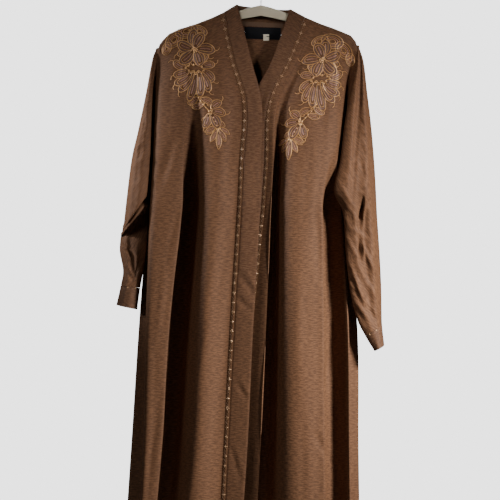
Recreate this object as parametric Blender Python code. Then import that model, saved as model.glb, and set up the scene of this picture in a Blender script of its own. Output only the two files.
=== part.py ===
"""An abaya of brown crepe on a hanger: open-front dress with lapped bands, batwing sleeves and cuffs.

Metres, +Z up. The origin is where the hook bears on its rail. The front faces -Y.
Tables are in millimetres. Every panel is a cloth wall: its outer points lie on fold lines that run
from the shoulder to the hem, and its inner points lie one cloth thickness behind them.
"""

import math
from collections import namedtuple

import bmesh
import bpy
import numpy as np
from mathutils import Vector
from mathutils.bvhtree import BVHTree

MM = 0.001

# Cloth and seams
CLOTH = 1.6
CUFF_CLOTH = 2.2
TRIM_THICK = 0.9
SEAM = 0.3
UNDERARM_EASE = 2.1
UNDERARM_REACH = 40.0
TIP_EASE = 2.6
CUFF_SEAM = 0.6
SHOULDER_ROLL = 9.0

# Heights of the garment, down from the hook
YOKE = -214.0
CHEST = -304.0
UNDERARM = -540.0
HIP = -820.0
KNEE = -1090.0
HEM = -1500.0
SIDE_TOP = -575.0
LEVELS = (YOKE, CHEST, UNDERARM, SIDE_TOP, HIP, KNEE, HEM)

# Neck at the back
NECK_LEFT = -84.0
NECK_RIGHT = 100.0
NECK_DROP = 47.0
NECK_BACK_DEPTH = 12.0
FREE_LEFT = -54.0
FREE_RIGHT = 66.0
FREE_DROP = 25.0
FREE_DEPTH = 13.0

# Where the back's columns lie between its neck corners and its middle, closer at the corners
NECK_SHARES = (0.06, 0.2, 0.45, 0.72, 1.0)
NECK_SHARES_BACK = (0.28, 0.55, 0.8, 0.94, 1.0)

# Bands and trims
TRIM_WIDTH = 9.0
TRIM_INSET = 0.6
TRIM_START_ROW = 3

# Hanger
HANGER_LEFT = -221.0
HANGER_RIGHT = 207.0
HANGER_TOP = -86.0
HANGER_THICK = 12.0
HANGER_TALL = 16.0
HANGER_EXTRA = 8.0
HANGER_CLEAR = 0.7
BARE_LEFT = -110.0
BARE_RIGHT = 110.0
TIP_ROUND = 8.0
HOOK_WIRE = 3.5
HOOK_RADIUS = 20.0
HOOK_STEPS = 15
HOOK_START = -25

BROWN = (0.19, 0.105, 0.062)
DARK_BROWN = (0.12, 0.062, 0.036)
LIGHT_BROWN = (0.26, 0.16, 0.10)
BLACK = (0.012, 0.012, 0.014)
CREAM = (0.78, 0.70, 0.56)
STEEL = (0.62, 0.62, 0.63)

# The top of the cloth along both shoulders, from the left shoulder tip to the right one
ShoulderPoint = namedtuple("ShoulderPoint", "x z")
SHOULDER_LINE = (
    ShoulderPoint(-240.0, -193.0),
    ShoulderPoint(-232.0, -178.0),
    ShoulderPoint(-222.0, -165.0),
    ShoulderPoint(-208.0, -151.0),
    ShoulderPoint(-184.0, -140.0),
    ShoulderPoint(-151.0, -130.0),
    ShoulderPoint(-112.0, -115.0),
    ShoulderPoint(-84.0, -102.0),
    ShoulderPoint(FREE_LEFT, -83.5),
    ShoulderPoint(FREE_RIGHT, -94.5),
    ShoulderPoint(100.0, -113.0),
    ShoulderPoint(135.0, -128.0),
    ShoulderPoint(162.0, -137.5),
    ShoulderPoint(186.0, -147.0),
    ShoulderPoint(204.0, -155.0),
    ShoulderPoint(218.0, -172.0),
    ShoulderPoint(225.0, -186.0),
)

# One row for each fold line of a panel: how many strips the cloth has before the next line, then the
# line's place across (x) and its depth (y) at the shoulder, yoke, chest, underarm, hip, knee and hem
FoldLine = namedtuple("FoldLine", "name strips x y")

BAND_OVER_LINES = (
    FoldLine("free_edge", 2, (-54, -21, 1, -1, -18, -31, -61), (-10, -29, -45, -64, -66, -68, -70)),
    FoldLine("middle", 2, (-69, -41, -17, -23, -40, -53, -78), (-10, -29, -44, -63, -65, -67, -69)),
    FoldLine("seam", 0, (-84, -60, -34, -44, -61, -75, -95), (-10, -29, -42, -59, -61, -63, -65)),
)
FRONT_OVER_LINES = (
    FoldLine("seam", 2, (-84, -60, -34, -44, -61, -75, -95), (-10, -29, -42, -59, -61, -63, -65)),
    FoldLine("groove", 2, (-97, -76, -52, -60, -78, -92, -114), (-11, -29, -39, -54, -56, -58, -60)),
    FoldLine("crown", 3, (-119, -101, -83, -88, -106, -119, -142), (-12, -33, -48, -67, -69, -71, -73)),
    FoldLine("slope", 3, (-142, -135, -130, -124, -145, -172, -216), (-12, -34, -48, -47, -45, -43, -41)),
    FoldLine("valley", 3, (-167, -163, -158, -159, -190, -206, -250), (-12, -32, -42, -14, -10, -10, -10)),
    FoldLine("ridge", 3, (-187, -180, -175, -177, -211, -227, -266), (-12, -32, -45, -60, -62, -63, -64)),
    FoldLine("column", 3, (-205, -203, -203, -216, -233, -246, -278), (-11, -28, -42, -62, -58, -60, -62)),
    FoldLine("trough", 2, (-219, -221, -226, -236, -246, -256, -284), (-10, -19, -28, -34, -40, -42, -44)),
    FoldLine("side", 0, (-232, -237, -242, -252, -263, -268, -286), (-10, -12, -15, 0, -8, -10, -12)),
)
BAND_UNDER_LINES = (
    FoldLine("free_edge", 2, (66, 24, -20, -39, -62, -78, -98), (-10, -23, -34, -51, -53, -55, -57)),
    FoldLine("middle", 2, (83, 42, -1, -19, -44, -60, -80), (-10, -24, -36, -52, -54, -56, -58)),
    FoldLine("seam", 0, (100, 59, 17, 0, -27, -43, -63), (-10, -25, -38, -54, -56, -58, -60)),
)
FRONT_UNDER_LINES = (
    FoldLine("seam", 2, (100, 59, 17, 0, -27, -43, -63), (-10, -25, -38, -54, -56, -58, -60)),
    FoldLine("centre_ridge", 3, (115, 77, 35, 23, 10, -4, -26), (-12, -29, -42, -58, -60, -62, -64)),
    FoldLine("valley", 3, (130, 92, 50, 37, 29, 22, 14), (-12, -27, -34, -14, -10, -10, -10)),
    FoldLine("panel_edge", 3, (146, 110, 68, 51, 50, 50, 50), (-12, -32, -44, -58, -62, -64, -66)),
    FoldLine("crown", 3, (162, 137, 112, 95, 101, 104, 108), (-12, -34, -51, -75, -77, -79, -81)),
    FoldLine("slope", 3, (178, 161, 148, 137, 144, 145, 149), (-12, -32, -45, -58, -62, -64, -66)),
    FoldLine("side_trough", 2, (191, 177, 166, 160, 171, 174, 181), (-11, -28, -36, -35, -30, -28, -28)),
    FoldLine("side_ridge", 2, (205, 191, 180, 175, 190, 193, 200), (-10, -20, -26, -24, -35, -37, -39)),
    FoldLine("side", 0, (217, 205, 194, 189, 200, 202, 208), (-10, -12, -14, 0, -6, -8, -10)),
)
BACK_LINES = (
    FoldLine("side_left", 2, (-232, -237, -242, -252, -263, -268, -286), (10, 12, 15, 0, -8, -10, -12)),
    FoldLine("turn_left", 3, (-219, -225, -234, -253, -275, -295, -323), (10, 15, 22, 20, 9, 10, 12)),
    FoldLine("crown_left", 3, (-190, -198, -205, -222, -243, -258, -284), (12, 20, 29, 46, 50, 54, 58)),
    FoldLine("valley_left", 3, (-140, -143, -146, -152, -166, -174, -190), (12, 18, 23, 27, 25, 25, 25)),
    FoldLine("neck_left", NECK_SHARES, (-84, -88, -90, -92, -96, -102, -110), (12, 20, 31, 52, 58, 62, 66)),
    FoldLine("centre", NECK_SHARES_BACK, (8, 4, 0, -2, -6, -10, -14), (14, 20, 26, 36, 33, 31, 30)),
    FoldLine("neck_right", 3, (100, 96, 94, 90, 92, 94, 98), (12, 20, 31, 54, 60, 64, 68)),
    FoldLine("valley_right", 3, (140, 138, 136, 134, 138, 142, 148), (12, 18, 23, 28, 26, 26, 26)),
    FoldLine("crown_right", 3, (182, 176, 170, 168, 180, 186, 196), (12, 20, 28, 44, 48, 52, 56)),
    FoldLine("turn_right", 2, (208, 197, 188, 191, 219, 222, 228), (10, 15, 22, 20, 11, 12, 14)),
    FoldLine("side_right", 0, (217, 205, 194, 189, 200, 202, 208), (10, 12, 14, 0, -6, -8, -10)),
)

# One row for each section of a sleeve, from the shoulder tip to the cuff's edge. Outer and inner say
# where the front face ends and how high the section is there; seam is the place across of the
# underarm seam, below the armhole; front and back are the depths; groove is the front's long fold
SleeveSection = namedtuple(
    "SleeveSection", "name outer_x outer_z inner_x inner_z seam_x front back groove"
)
UPPER_ARM_ROW = 5

# The outside of a section, from its front round to its back: how far across it each point lies, and
# how much of the section's front depth, back depth and groove it takes
AroundPoint = namedtuple("AroundPoint", "share front back groove")
AROUND = (
    AroundPoint(0.30, 1.0, 0.0, 0),
    AroundPoint(0.55, 1.0, 0.0, 1),
    AroundPoint(0.80, 0.8, 0.0, 0),
    AroundPoint(1.0, 0.5, 0.5, 0),
    AroundPoint(0.86, 0.0, 0.72, 0),
    AroundPoint(0.55, 0.0, 1.0, 0),
)

# How the cloth turns in to a sleeve's seam edges
EDGE_TURN = 0.38
BACK_EASE = 5.0

SLEEVE_LEFT_SECTIONS = (
    SleeveSection("tip", -238, -183, -236, -193, None, 9, 9, 0),
    SleeveSection("cap", -246, -208, -243, -226, None, 16, 16, 0),
    SleeveSection("upper", -262, -292, -246, -298, None, 29, 29, 0),
    SleeveSection("arm", -279, -372, -248, -372, None, 40, 40, 1),
    SleeveSection("lower_arm", -292, -439, -249, -439, None, 49, 48, 2),
    SleeveSection("fold_edge", -304, -566, -258, -508, None, 58, 52, 1),
    SleeveSection("fold_tuck", -306, -556, -262, -516, -255, 44, 53, 0),
    SleeveSection("second_edge", -308, -580, -263, -534, -257, 50, 54, 0),
    SleeveSection("second_tuck", -310, -584, -266, -556, -259, 33, 54, 0),
    SleeveSection("elbow", -320, -636, -276, -628, -267, 38, 50, 2),
    SleeveSection("forearm", -317, -684, -279, -684, -272, 42, 46, 3),
    SleeveSection("cuff_seam", -318, -722, -280, -727, -276, 42, 44, 0),
    SleeveSection("cuff_edge", -328, -766, -284, -776, -280, 43, 45, 0),
)
SLEEVE_RIGHT_SECTIONS = (
    SleeveSection("tip", 222, -180, 220, -191, None, 9, 9, 0),
    SleeveSection("cap", 233, -215, 214, -226, None, 18, 16, 5),
    SleeveSection("upper", 241, -282, 205, -286, None, 31, 29, 9),
    SleeveSection("arm", 250, -358, 193, -358, None, 44, 40, 12),
    SleeveSection("lower_arm", 257, -440, 177, -440, None, 54, 48, 12),
    SleeveSection("bulge", 261, -508, 163, -508, None, 60, 52, 12),
    SleeveSection("under_bulge", 264, -566, 184, -566, 199, 54, 53, 12),
    SleeveSection("elbow", 269, -640, 190, -650, 213, 50, 52, 9),
    SleeveSection("forearm", 273, -720, 200, -735, 222, 48, 50, 8),
    SleeveSection("wrist", 274, -778, 216, -798, 231, 46, 48, 5),
    SleeveSection("cuff_seam", 275, -811, 235, -836, 243, 44, 47, 0),
    SleeveSection("cuff_edge", 280, -857, 256, -870, 258, 44, 47, 0),
)

# One row for each large crease of a sleeve's front: where its middle lies (steps of the sleeve's
# sections round and down), how far it reaches along and across, its lean, and its depth
Crease = namedtuple("Crease", "name round down along across lean depth")
SLEEVE_RIGHT_CREASES = (
    Crease("drag_top", 4.2, 6.2, 1.1, 0.34, 0.9, 6.0),
    Crease("drag_middle", 3.6, 7.2, 1.3, 0.36, 0.8, 7.0),
    Crease("drag_low", 3.4, 8.1, 1.2, 0.34, 0.8, 6.5),
    Crease("drag_wrist", 3.6, 9.0, 1.0, 0.32, 0.7, 5.0),
    Crease("notch_high", 1.9, 7.6, 0.7, 0.26, 0.2, 6.0),
    Crease("notch_low", 1.9, 8.3, 0.7, 0.26, 0.2, 6.0),
)
SLEEVE_LEFT_CREASES = (
    Crease("elbow_fold", 4.2, 9.3, 1.0, 0.32, -0.5, 5.0),
    Crease("forearm_fold", 3.4, 10.1, 1.0, 0.32, 0.9, 5.0),
)


def clear_scene():
    for old in list(bpy.data.objects):
        bpy.data.objects.remove(old, do_unlink=True)


def material(name, colour, roughness, metallic=0.0):
    made = bpy.data.materials.new(name)
    made.use_nodes = True
    shader = made.node_tree.nodes["Principled BSDF"]
    shader.inputs["Base Color"].default_value = (*colour, 1.0)
    shader.inputs["Roughness"].default_value = roughness
    shader.inputs["Metallic"].default_value = metallic
    return made


def smooth(stations, values, at):
    """A smooth curve through the values at the stations, read at the given places."""
    stations = np.asarray(stations, float)
    values = np.asarray(values, float)
    at = np.atleast_1d(np.asarray(at, float))
    gaps = np.diff(stations)
    steps = np.diff(values, axis=0) / gaps.reshape(-1, *[1] * (values.ndim - 1))
    slopes = np.concatenate([steps[:1], (steps[1:] + steps[:-1]) / 2, steps[-1:]])
    place = np.clip(np.searchsorted(stations, at, side="right") - 1, 0, len(gaps) - 1)
    shape = (-1, *[1] * (values.ndim - 1))
    gap = gaps[place].reshape(shape)
    t = ((at - stations[place]) / gaps[place]).reshape(shape)
    return (
        (2 * t**3 - 3 * t**2 + 1) * values[place]
        + (t**3 - 2 * t**2 + t) * gap * slopes[place]
        + (3 * t**2 - 2 * t**3) * values[place + 1]
        + (t**3 - t**2) * gap * slopes[place + 1]
    )


def ease(value):
    value = min(max(value, 0.0), 1.0)
    return value * value * (3 - 2 * value)


def shoulder_height(x):
    return np.interp(x, [p.x for p in SHOULDER_LINE], [p.z for p in SHOULDER_LINE])


def neck_share(x):
    """How far round the back of the neck a place is: 0 at and outside its corners, 1 in the middle."""
    middle = (NECK_LEFT + NECK_RIGHT) / 2
    reach = (NECK_RIGHT - NECK_LEFT) / 2
    return max(0.0, 1 - (abs(x - middle) / reach) ** 2.6) ** 0.8


def neck_seam_height(x):
    corners = np.interp(
        x, [NECK_LEFT, NECK_RIGHT], [shoulder_height(NECK_LEFT), shoulder_height(NECK_RIGHT)]
    )
    return corners - NECK_DROP * neck_share(x)


def top_of_front(x):
    return float(shoulder_height(x)), 0.0


def top_of_back(x):
    if NECK_LEFT < x < NECK_RIGHT:
        return float(neck_seam_height(x)), NECK_BACK_DEPTH * neck_share(x) ** 0.15
    return float(shoulder_height(x)), 0.0


def row_heights(top):
    """Heights of a panel's rows: close together over the shoulder, then even down to the hem."""
    roll = [top, top - 0.14 * SHOULDER_ROLL, top - 0.5 * SHOULDER_ROLL, top - SHOULDER_ROLL]
    start = top - SHOULDER_ROLL
    chest = [start + (CHEST - start) * share for share in (0.22, 0.46, 0.72, 1.0)]
    below = [-350, -405, -460, -505, -540, -570, -605, -670, -760, -860, -970, -1090, -1220, -1360, HEM]
    return roll + chest + [float(z) for z in below]


def seam_ease(z):
    """Half the gap at a side or armhole seam. It opens a little where four seams meet under the arm."""
    away = abs(z - UNDERARM) / UNDERARM_REACH
    return SEAM / 2 + (UNDERARM_EASE - SEAM / 2) * ease(1 - away)


def line_array(line):
    """A fold line's places and depths at the shoulder and at each level, with one more under the arm."""
    places = np.array([line.x, line.y], float)
    share = (UNDERARM - SIDE_TOP) / (UNDERARM - HIP)
    side_top = places[:, 3] + (places[:, 4] - places[:, 3]) * share
    return np.insert(places, 4, side_top, axis=1)


def line_arrays(lines):
    return np.array([line_array(line) for line in lines])


def panel_columns(lines):
    """Places across a panel, counted in fold lines."""
    places = [0.0]
    for index, line in enumerate(lines[:-1]):
        shares = line.strips
        if isinstance(shares, int):
            shares = [(step + 1) / shares for step in range(shares)]
        places += [index + share for share in shares]
    return places


def below_underarm(z):
    """0 above the underarm, where sleeves join the panels, and 1 below it, where the sides do."""
    return ease((UNDERARM + 25.0 - z) / 50.0)


def panel_column(lines, before, after, top, side, place):
    """The outer points of a panel down one column. before and after are pairs of fold lines of the
    pieces beside it, above and below the underarm, and set how the panel turns at its edges."""
    keys = line_arrays(lines)
    padded = np.concatenate([before[0][None], keys, after[0][None]])
    index = np.arange(-1, len(lines) + 1)
    top_z, top_y = top(float(smooth(index, padded[:, 0, 0], [place])[0]))
    heights = np.array(row_heights(top_z))
    stations = [-top_z] + [-z for z in LEVELS]
    down = smooth(stations, keys.transpose(2, 0, 1), -heights)
    ends = []
    for above, below in (before, after):
        share = np.array([below_underarm(z) for z in heights])[:, None]
        ends.append(
            smooth(stations, above.T, -heights) * (1 - share) + smooth(stations, below.T, -heights) * share
        )
    rows = np.concatenate([ends[0][:, None], down, ends[1][:, None]], axis=1)
    across = smooth(index, rows.transpose(1, 0, 2), [place])[0]
    x = across[:, 0]
    y = across[:, 1].copy()
    start_y = side * (top_y + SEAM / 2)
    rolled = y[3]
    for row, z in enumerate(heights):
        share = (top_z - z) / SHOULDER_ROLL
        if share < 1:
            y[row] = start_y + (rolled - start_y) * math.sqrt(1 - (1 - share) ** 2)
    return np.stack([x, y, heights], axis=1)


def panel_points(lines, before, after, top, side, gap_first, gap_last):
    """Outer points and outward directions of a panel, as rows of points from the top to the hem.

    side is -1 for a front and 1 for the back.
    """
    step = 0.02
    places = panel_columns(lines)
    near = []
    for move in (-step, 0, step):
        columns = [panel_column(lines, before, after, top, side, place + move) for place in places]
        near.append(np.stack(columns, axis=1))
    less, points, more = near
    across_way = more - less
    over = points[1:2] * [1, -1, 1]
    neck = np.array([[top(float(p[0]))[1] > 0.0 for p in points[0]]])[..., None]
    above = np.where(neck, 2 * points[0:1] - points[1:2], over)
    tall = np.concatenate([above, points, 2 * points[-1:] - points[-2:-1]])
    down_way = tall[2:] - tall[:-2]
    out = unit(np.cross(across_way, down_way))
    out = out * np.sign((out[len(out) // 2] * [0, side, 0]).sum())
    for edge, way, gap in ((0, 1, gap_first), (-1, -1, gap_last)):
        direction = unit(across_way[:, edge]) * way
        if gap == "side":
            offsets = np.array([seam_ease(z) for z in points[:, edge, 2]])
        else:
            offsets = np.full(len(points), gap)
        points[:, edge] = points[:, edge] + direction * offsets[:, None]
    return points, out


def unit(vectors):
    return vectors / np.linalg.norm(vectors, axis=-1, keepdims=True)


def wall(name, points, out, thickness, stuff):
    """One closed cloth wall: the outer points, and the same points one thickness behind."""
    rows, columns = points.shape[:2]
    inner = points - out * thickness
    corners = np.concatenate([points.reshape(-1, 3), inner.reshape(-1, 3)]) * MM
    behind = rows * columns

    def at(row, column, layer=0):
        return layer * behind + row * columns + column

    faces = []
    for row in range(rows - 1):
        for column in range(columns - 1):
            square = [
                at(row, column),
                at(row, column + 1),
                at(row + 1, column + 1),
                at(row + 1, column),
            ]
            faces.append(square)
            faces.append([behind + corner for corner in reversed(square)])
    rim = [at(0, column) for column in range(columns)]
    rim += [at(row, columns - 1) for row in range(1, rows)]
    rim += [at(rows - 1, column) for column in reversed(range(columns - 1))]
    rim += [at(row, 0) for row in reversed(range(1, rows - 1))]
    for here, there in zip(rim, rim[1:] + rim[:1]):
        faces.append([there, here, behind + here, behind + there])
    mesh = bpy.data.meshes.new(name)
    mesh.from_pydata([tuple(corner) for corner in corners], [], faces)
    return finish(name, mesh, stuff)


def finish(name, mesh, stuff):
    """Puts a mesh in the scene as an object, with its faces pointing out and smooth shading."""
    shape = bmesh.new()
    shape.from_mesh(mesh)
    if shape.calc_volume(signed=True) < 0:
        bmesh.ops.reverse_faces(shape, faces=shape.faces)
    shape.to_mesh(mesh)
    shape.free()
    mesh.shade_smooth()
    mesh.set_sharp_from_angle(angle=math.radians(40))
    mesh.materials.append(stuff)
    made = bpy.data.objects.new(name, mesh)
    bpy.context.collection.objects.link(made)
    return made


def straight_on(edge_line, next_line):
    """The line as far outside an edge as the next line is inside it."""
    return 2 * line_array(edge_line) - line_array(next_line)


def body_panels():
    """Points and directions of the two fronts, their bands and the back, by name."""
    half = SEAM / 2
    ends = {}
    for name, side, way, depth, beyond in (
        ("front_over", FRONT_OVER_LINES[-1], -1, -8, BACK_LINES[1]),
        ("front_under", FRONT_UNDER_LINES[-1], 1, -8, BACK_LINES[-2]),
        ("back_left", BACK_LINES[0], -1, 8, FRONT_OVER_LINES[-2]),
        ("back_right", BACK_LINES[-1], 1, 8, FRONT_UNDER_LINES[-2]),
    ):
        sleeve = line_array(side) + np.array([[9.0 * way], [depth]])
        ends[name] = (sleeve, line_array(beyond))
    both = {
        "over_free": straight_on(*BAND_OVER_LINES[:2]),
        "over_band": line_array(BAND_OVER_LINES[1]),
        "over_front": line_array(FRONT_OVER_LINES[1]),
        "under_free": straight_on(*BAND_UNDER_LINES[:2]),
        "under_band": line_array(BAND_UNDER_LINES[1]),
        "under_front": line_array(FRONT_UNDER_LINES[1]),
    }
    ends.update({name: (line, line) for name, line in both.items()})
    fronts = (
        ("band_over", BAND_OVER_LINES, "over_free", "over_front", 0.0, half),
        ("front_over", FRONT_OVER_LINES, "over_band", "front_over", half, "side"),
        ("band_under", BAND_UNDER_LINES, "under_free", "under_front", 0.0, half),
        ("front_under", FRONT_UNDER_LINES, "under_band", "front_under", half, "side"),
    )
    panels = {
        name: panel_points(lines, ends[before], ends[after], top_of_front, -1, first, last)
        for name, lines, before, after, first, last in fronts
    }
    panels["back"] = panel_points(
        BACK_LINES, ends["back_left"], ends["back_right"], top_of_back, 1, "side", "side"
    )
    return panels


def neck_columns():
    """Which columns of the back lie along the neck seam."""
    places = np.array(panel_columns(BACK_LINES))
    names = [line.name for line in BACK_LINES]
    first = names.index("neck_left")
    last = names.index("neck_right")
    return [index for index, place in enumerate(places) if first <= place <= last]


def back_band_points(back_points):
    """The back neck band: from the back's neck seam up to a free edge that dips behind the neck."""
    rows = []
    for share in (0.0, 0.35, 0.7, 1.0):
        row = []
        for column in neck_columns():
            seam = back_points[0, column]
            across = (seam[0] - NECK_LEFT) / (NECK_RIGHT - NECK_LEFT)
            x = FREE_LEFT + (FREE_RIGHT - FREE_LEFT) * across
            dip = max(0.0, 1 - abs(2 * across - 1) ** 5)
            line = shoulder_height(FREE_LEFT) * (1 - across) + shoulder_height(FREE_RIGHT) * across
            free = np.array([x, SEAM / 2 + FREE_DEPTH * dip**0.2, line - FREE_DROP * dip**0.6])
            lifted = seam + np.array([0, 0, SEAM])
            row.append(free + (lifted - free) * share)
        rows.append(row)
    points = np.array(rows)
    across_way = np.gradient(points, axis=1)
    across_way[:, 0] = across_way[:, 1] * [0, 1, 0] + [0, 1, 0]
    across_way[:, -1] = across_way[:, -2] * [0, 1, 0] - [0, 1, 0]
    down_way = np.gradient(points, axis=0)
    out = unit(np.cross(across_way, down_way))
    out = out * np.sign(out[1, len(out[1]) // 2, 1])
    return points, out


def across_section(section, share, y):
    """A point of a section: share is how far across it lies, from the inner to the outer side."""
    x = section.inner_x + (section.outer_x - section.inner_x) * share
    z = section.inner_z + (section.outer_z - section.inner_z) * share
    return np.array([x, y, z])


def sleeve_keys(sections, edges, way):
    """Points round each section of a sleeve, from its front seam edge round the outside to the back."""
    front_edge, back_edge = edges
    rings = []
    for section in sections:
        front = -section.front
        back = section.back
        if section.seam_x is None:
            first = edge_point(front_edge, section.inner_z) + [way * SEAM, 0, 0]
            last = edge_point(back_edge, section.inner_z) + [way * SEAM, 0, 0]
        else:
            first = np.array([section.seam_x, -SEAM / 2, section.inner_z])
            last = np.array([section.seam_x, SEAM / 2, section.inner_z])
        inner_front = across_section(section, 0.02, front * 0.78)
        clear_of_back = max(abs(section.inner_x), abs(last[0])) + BACK_EASE
        inner_back = np.array([clear_of_back * way, back * 0.72, section.inner_z])
        beside_first = first * (1 - EDGE_TURN) + inner_front * EDGE_TURN + [way * 1.5, 0, 0]
        beside_last = last * (1 - EDGE_TURN) + inner_back * EDGE_TURN + [way * 2.0, 0, 0]
        round_outside = [
            across_section(section, share, front * forward + back * backward + section.groove * groove)
            for share, forward, backward, groove in AROUND
        ]
        rings.append([first, beside_first, inner_front, *round_outside, inner_back, beside_last, last])
    return np.array(rings, float)


def edge_point(edge, z):
    """The place on a seam edge at a height."""
    order = np.argsort(edge[:, 2])
    return np.array([np.interp(z, edge[order, 2], edge[order, axis]) for axis in range(2)] + [z])


def facing_out(across_way, points, way):
    """Directions out of a sleeve's cloth."""
    out = unit(np.cross(across_way, np.gradient(points, axis=0)))
    return out * np.sign(out[UPPER_ARM_ROW, points.shape[1] // 2, 0] * way)


def sleeve_points(sections, edges, way, creases, strips):
    """Outer points and outward directions of a sleeve with its cuff, row by row."""
    rings = sleeve_keys(sections, edges, way)
    last_key = rings.shape[1] - 1
    rows = np.linspace(0, len(sections) - 1, (len(sections) - 1) * strips + 1)
    down = smooth(np.arange(len(sections)), rings, rows)
    for row in range(len(rows)):
        for column, edge in ((0, edges[0]), (last_key, edges[1])):
            z = down[row, column, 2]
            if z > UNDERARM:
                extra = TIP_EASE * ease(1 - rows[row] / 3)
                seat = edge_point(edge, z) + [way * (SEAM + extra), 0, 0]
                move = seat - down[row, column]
                beside = 1 if column == 0 else -1
                down[row, column] += move
                down[row, column + beside] += move * 0.6
    closed = np.array([below_underarm(z) for z in down[:, 0, 2]])[:, None]
    before = (2 * down[:, 0] - down[:, 1]) * (1 - closed) + down[:, -2] * closed
    after = (2 * down[:, -1] - down[:, -2]) * (1 - closed) + down[:, 1] * closed
    ring = np.concatenate([before[:, None], down, after[:, None]], axis=1).swapaxes(0, 1)
    index = np.arange(-1, last_key + 2)
    places = np.linspace(0, last_key, last_key * strips + 1)
    step = 0.02
    less, points, more = [smooth(index, ring, places + move).swapaxes(0, 1) for move in (-step, 0, step)]
    across_way = more - less
    out = facing_out(across_way, points, way)
    for row in range(len(rows)):
        for column in range(1, points.shape[1] - 1):
            dent = sum(crease_depth(crease, places[column], rows[row]) for crease in creases)
            points[row, column] -= out[row, column] * dent
    across_way[:, 1:-1] = points[:, 2:] - points[:, :-2]
    out = facing_out(across_way, points, way)
    for edge, inward in ((0, 1), (-1, -1)):
        direction = unit(across_way[:, edge]) * inward
        extra = np.array([seam_ease(z) - SEAM / 2 for z in points[:, edge, 2]])
        points[:, edge] += direction * extra[:, None]
    return points, out


def crease_depth(crease, around, down):
    """Depth of a soft trough at a place on a sleeve."""
    a = around - crease.round
    d = down - crease.down
    along = (a * crease.lean + d) / math.hypot(crease.lean, 1)
    across = (a - d * crease.lean) / math.hypot(crease.lean, 1)
    return crease.depth * math.exp(-((along / crease.along) ** 2) - (across / crease.across) ** 2)


def build_sleeve(name, cuff_name, sections, edges, way, creases, stuff, cuff_stuff):
    """A sleeve down to its cuff seam, and the cuff below it."""
    strips = 2
    points, out = sleeve_points(sections, edges, way, creases, strips)
    seam_row = (len(sections) - 2) * strips
    sleeve = points[: seam_row + 1].copy()
    cuff = points[seam_row:].copy()
    step = unit(points[seam_row + 1] - points[seam_row])
    sleeve[-1] -= step * CUFF_SEAM / 2
    cuff[0] += step * CUFF_SEAM / 2
    wall(name, sleeve, out[: seam_row + 1], CLOTH, stuff)
    wall(cuff_name, cuff, out[seam_row:], CUFF_CLOTH, cuff_stuff)


def trim_points(points, out):
    """A narrow strip that lies on a front beside its band seam: the front's own points, moved out."""
    strips = []
    for row in range(len(points)):
        line = points[row]
        length = np.concatenate([[0], np.cumsum(np.linalg.norm(np.diff(line, axis=0), axis=1))])
        strip = []
        for place in (TRIM_INSET, TRIM_INSET + TRIM_WIDTH / 2, TRIM_INSET + TRIM_WIDTH):
            on = np.array([np.interp(place, length, line[:, axis]) for axis in range(3)])
            facing = np.array([np.interp(place, length, out[row][:, axis]) for axis in range(3)])
            facing = facing / np.linalg.norm(facing)
            strip.append((on + facing * (SEAM + TRIM_THICK), facing))
        strips.append(strip)
    places = np.array([[pair[0] for pair in strip] for strip in strips])
    facings = np.array([[pair[1] for pair in strip] for strip in strips])
    return places, facings


# One row for each piece sewn inside the back of the neck: its left and right ends, the height of its
# top at each end, how tall and how thick it is, and how far it stands off the cloth
InsidePiece = namedtuple("InsidePiece", "name left right left_top right_top tall thick off colour")
INSIDE_PIECES = (
    InsidePiece("neck_tape", -50.0, 50.0, -121.0, -127.0, 10.0, 0.8, 0.85, LIGHT_BROWN),
    InsidePiece("label", -37.0, 45.0, -134.0, -137.0, 27.0, 0.8, 0.85, BLACK),
    InsidePiece("size_tab", 5.5, 18.5, -151.5, -151.5, 14.0, 0.6, 2.7, CREAM),
)


def build_inside_piece(piece, cloths):
    """A flat piece on the inner face of the back neck, as far off it everywhere as it states."""
    trees = []
    for cloth in cloths:
        shape = bmesh.new()
        shape.from_mesh(cloth.data)
        trees.append(BVHTree.FromBMesh(shape))
        shape.free()
    columns = np.linspace(0, 1, 9 if piece.right - piece.left > 30 else 3)
    rows = np.linspace(0, 1, 4)
    points = []
    for share in rows:
        line = []
        for across in columns:
            x = piece.left + (piece.right - piece.left) * across
            z = piece.left_top + (piece.right_top - piece.left_top) * across - piece.tall * share
            starts = [Vector((x * MM, -0.004, (z + move) * MM)) for move in (-2.0, 0.0, 2.0)]
            hits = [tree.ray_cast(start, Vector((0, 1, 0)))[0] for start in starts for tree in trees]
            depth = min(hit.y for hit in hits if hit is not None) / MM
            line.append([x, depth, z])
        points.append(line)
    points = np.array(points)
    points[..., 1] -= piece.off
    back_face = np.broadcast_to(np.array([0.0, 1.0, 0.0]), points.shape)
    stuff = material(piece.name + "_weave", piece.colour, 0.55)
    return wall(piece.name, points, back_face, piece.thick, stuff)


def hanger_top(x):
    """The top of the wood: one clearance under the shoulder seams, and a low arch where it is bare."""
    edge = BARE_LEFT if x < 0 else BARE_RIGHT
    if abs(x) > abs(edge):
        return float(shoulder_height(x)) - CLOTH - HANGER_CLEAR
    at_edge = float(shoulder_height(edge)) - CLOTH - HANGER_CLEAR
    share = abs(x / edge)
    return HANGER_TOP + (at_edge - HANGER_TOP) * (0.55 * share + 0.45 * ease(share))


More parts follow.
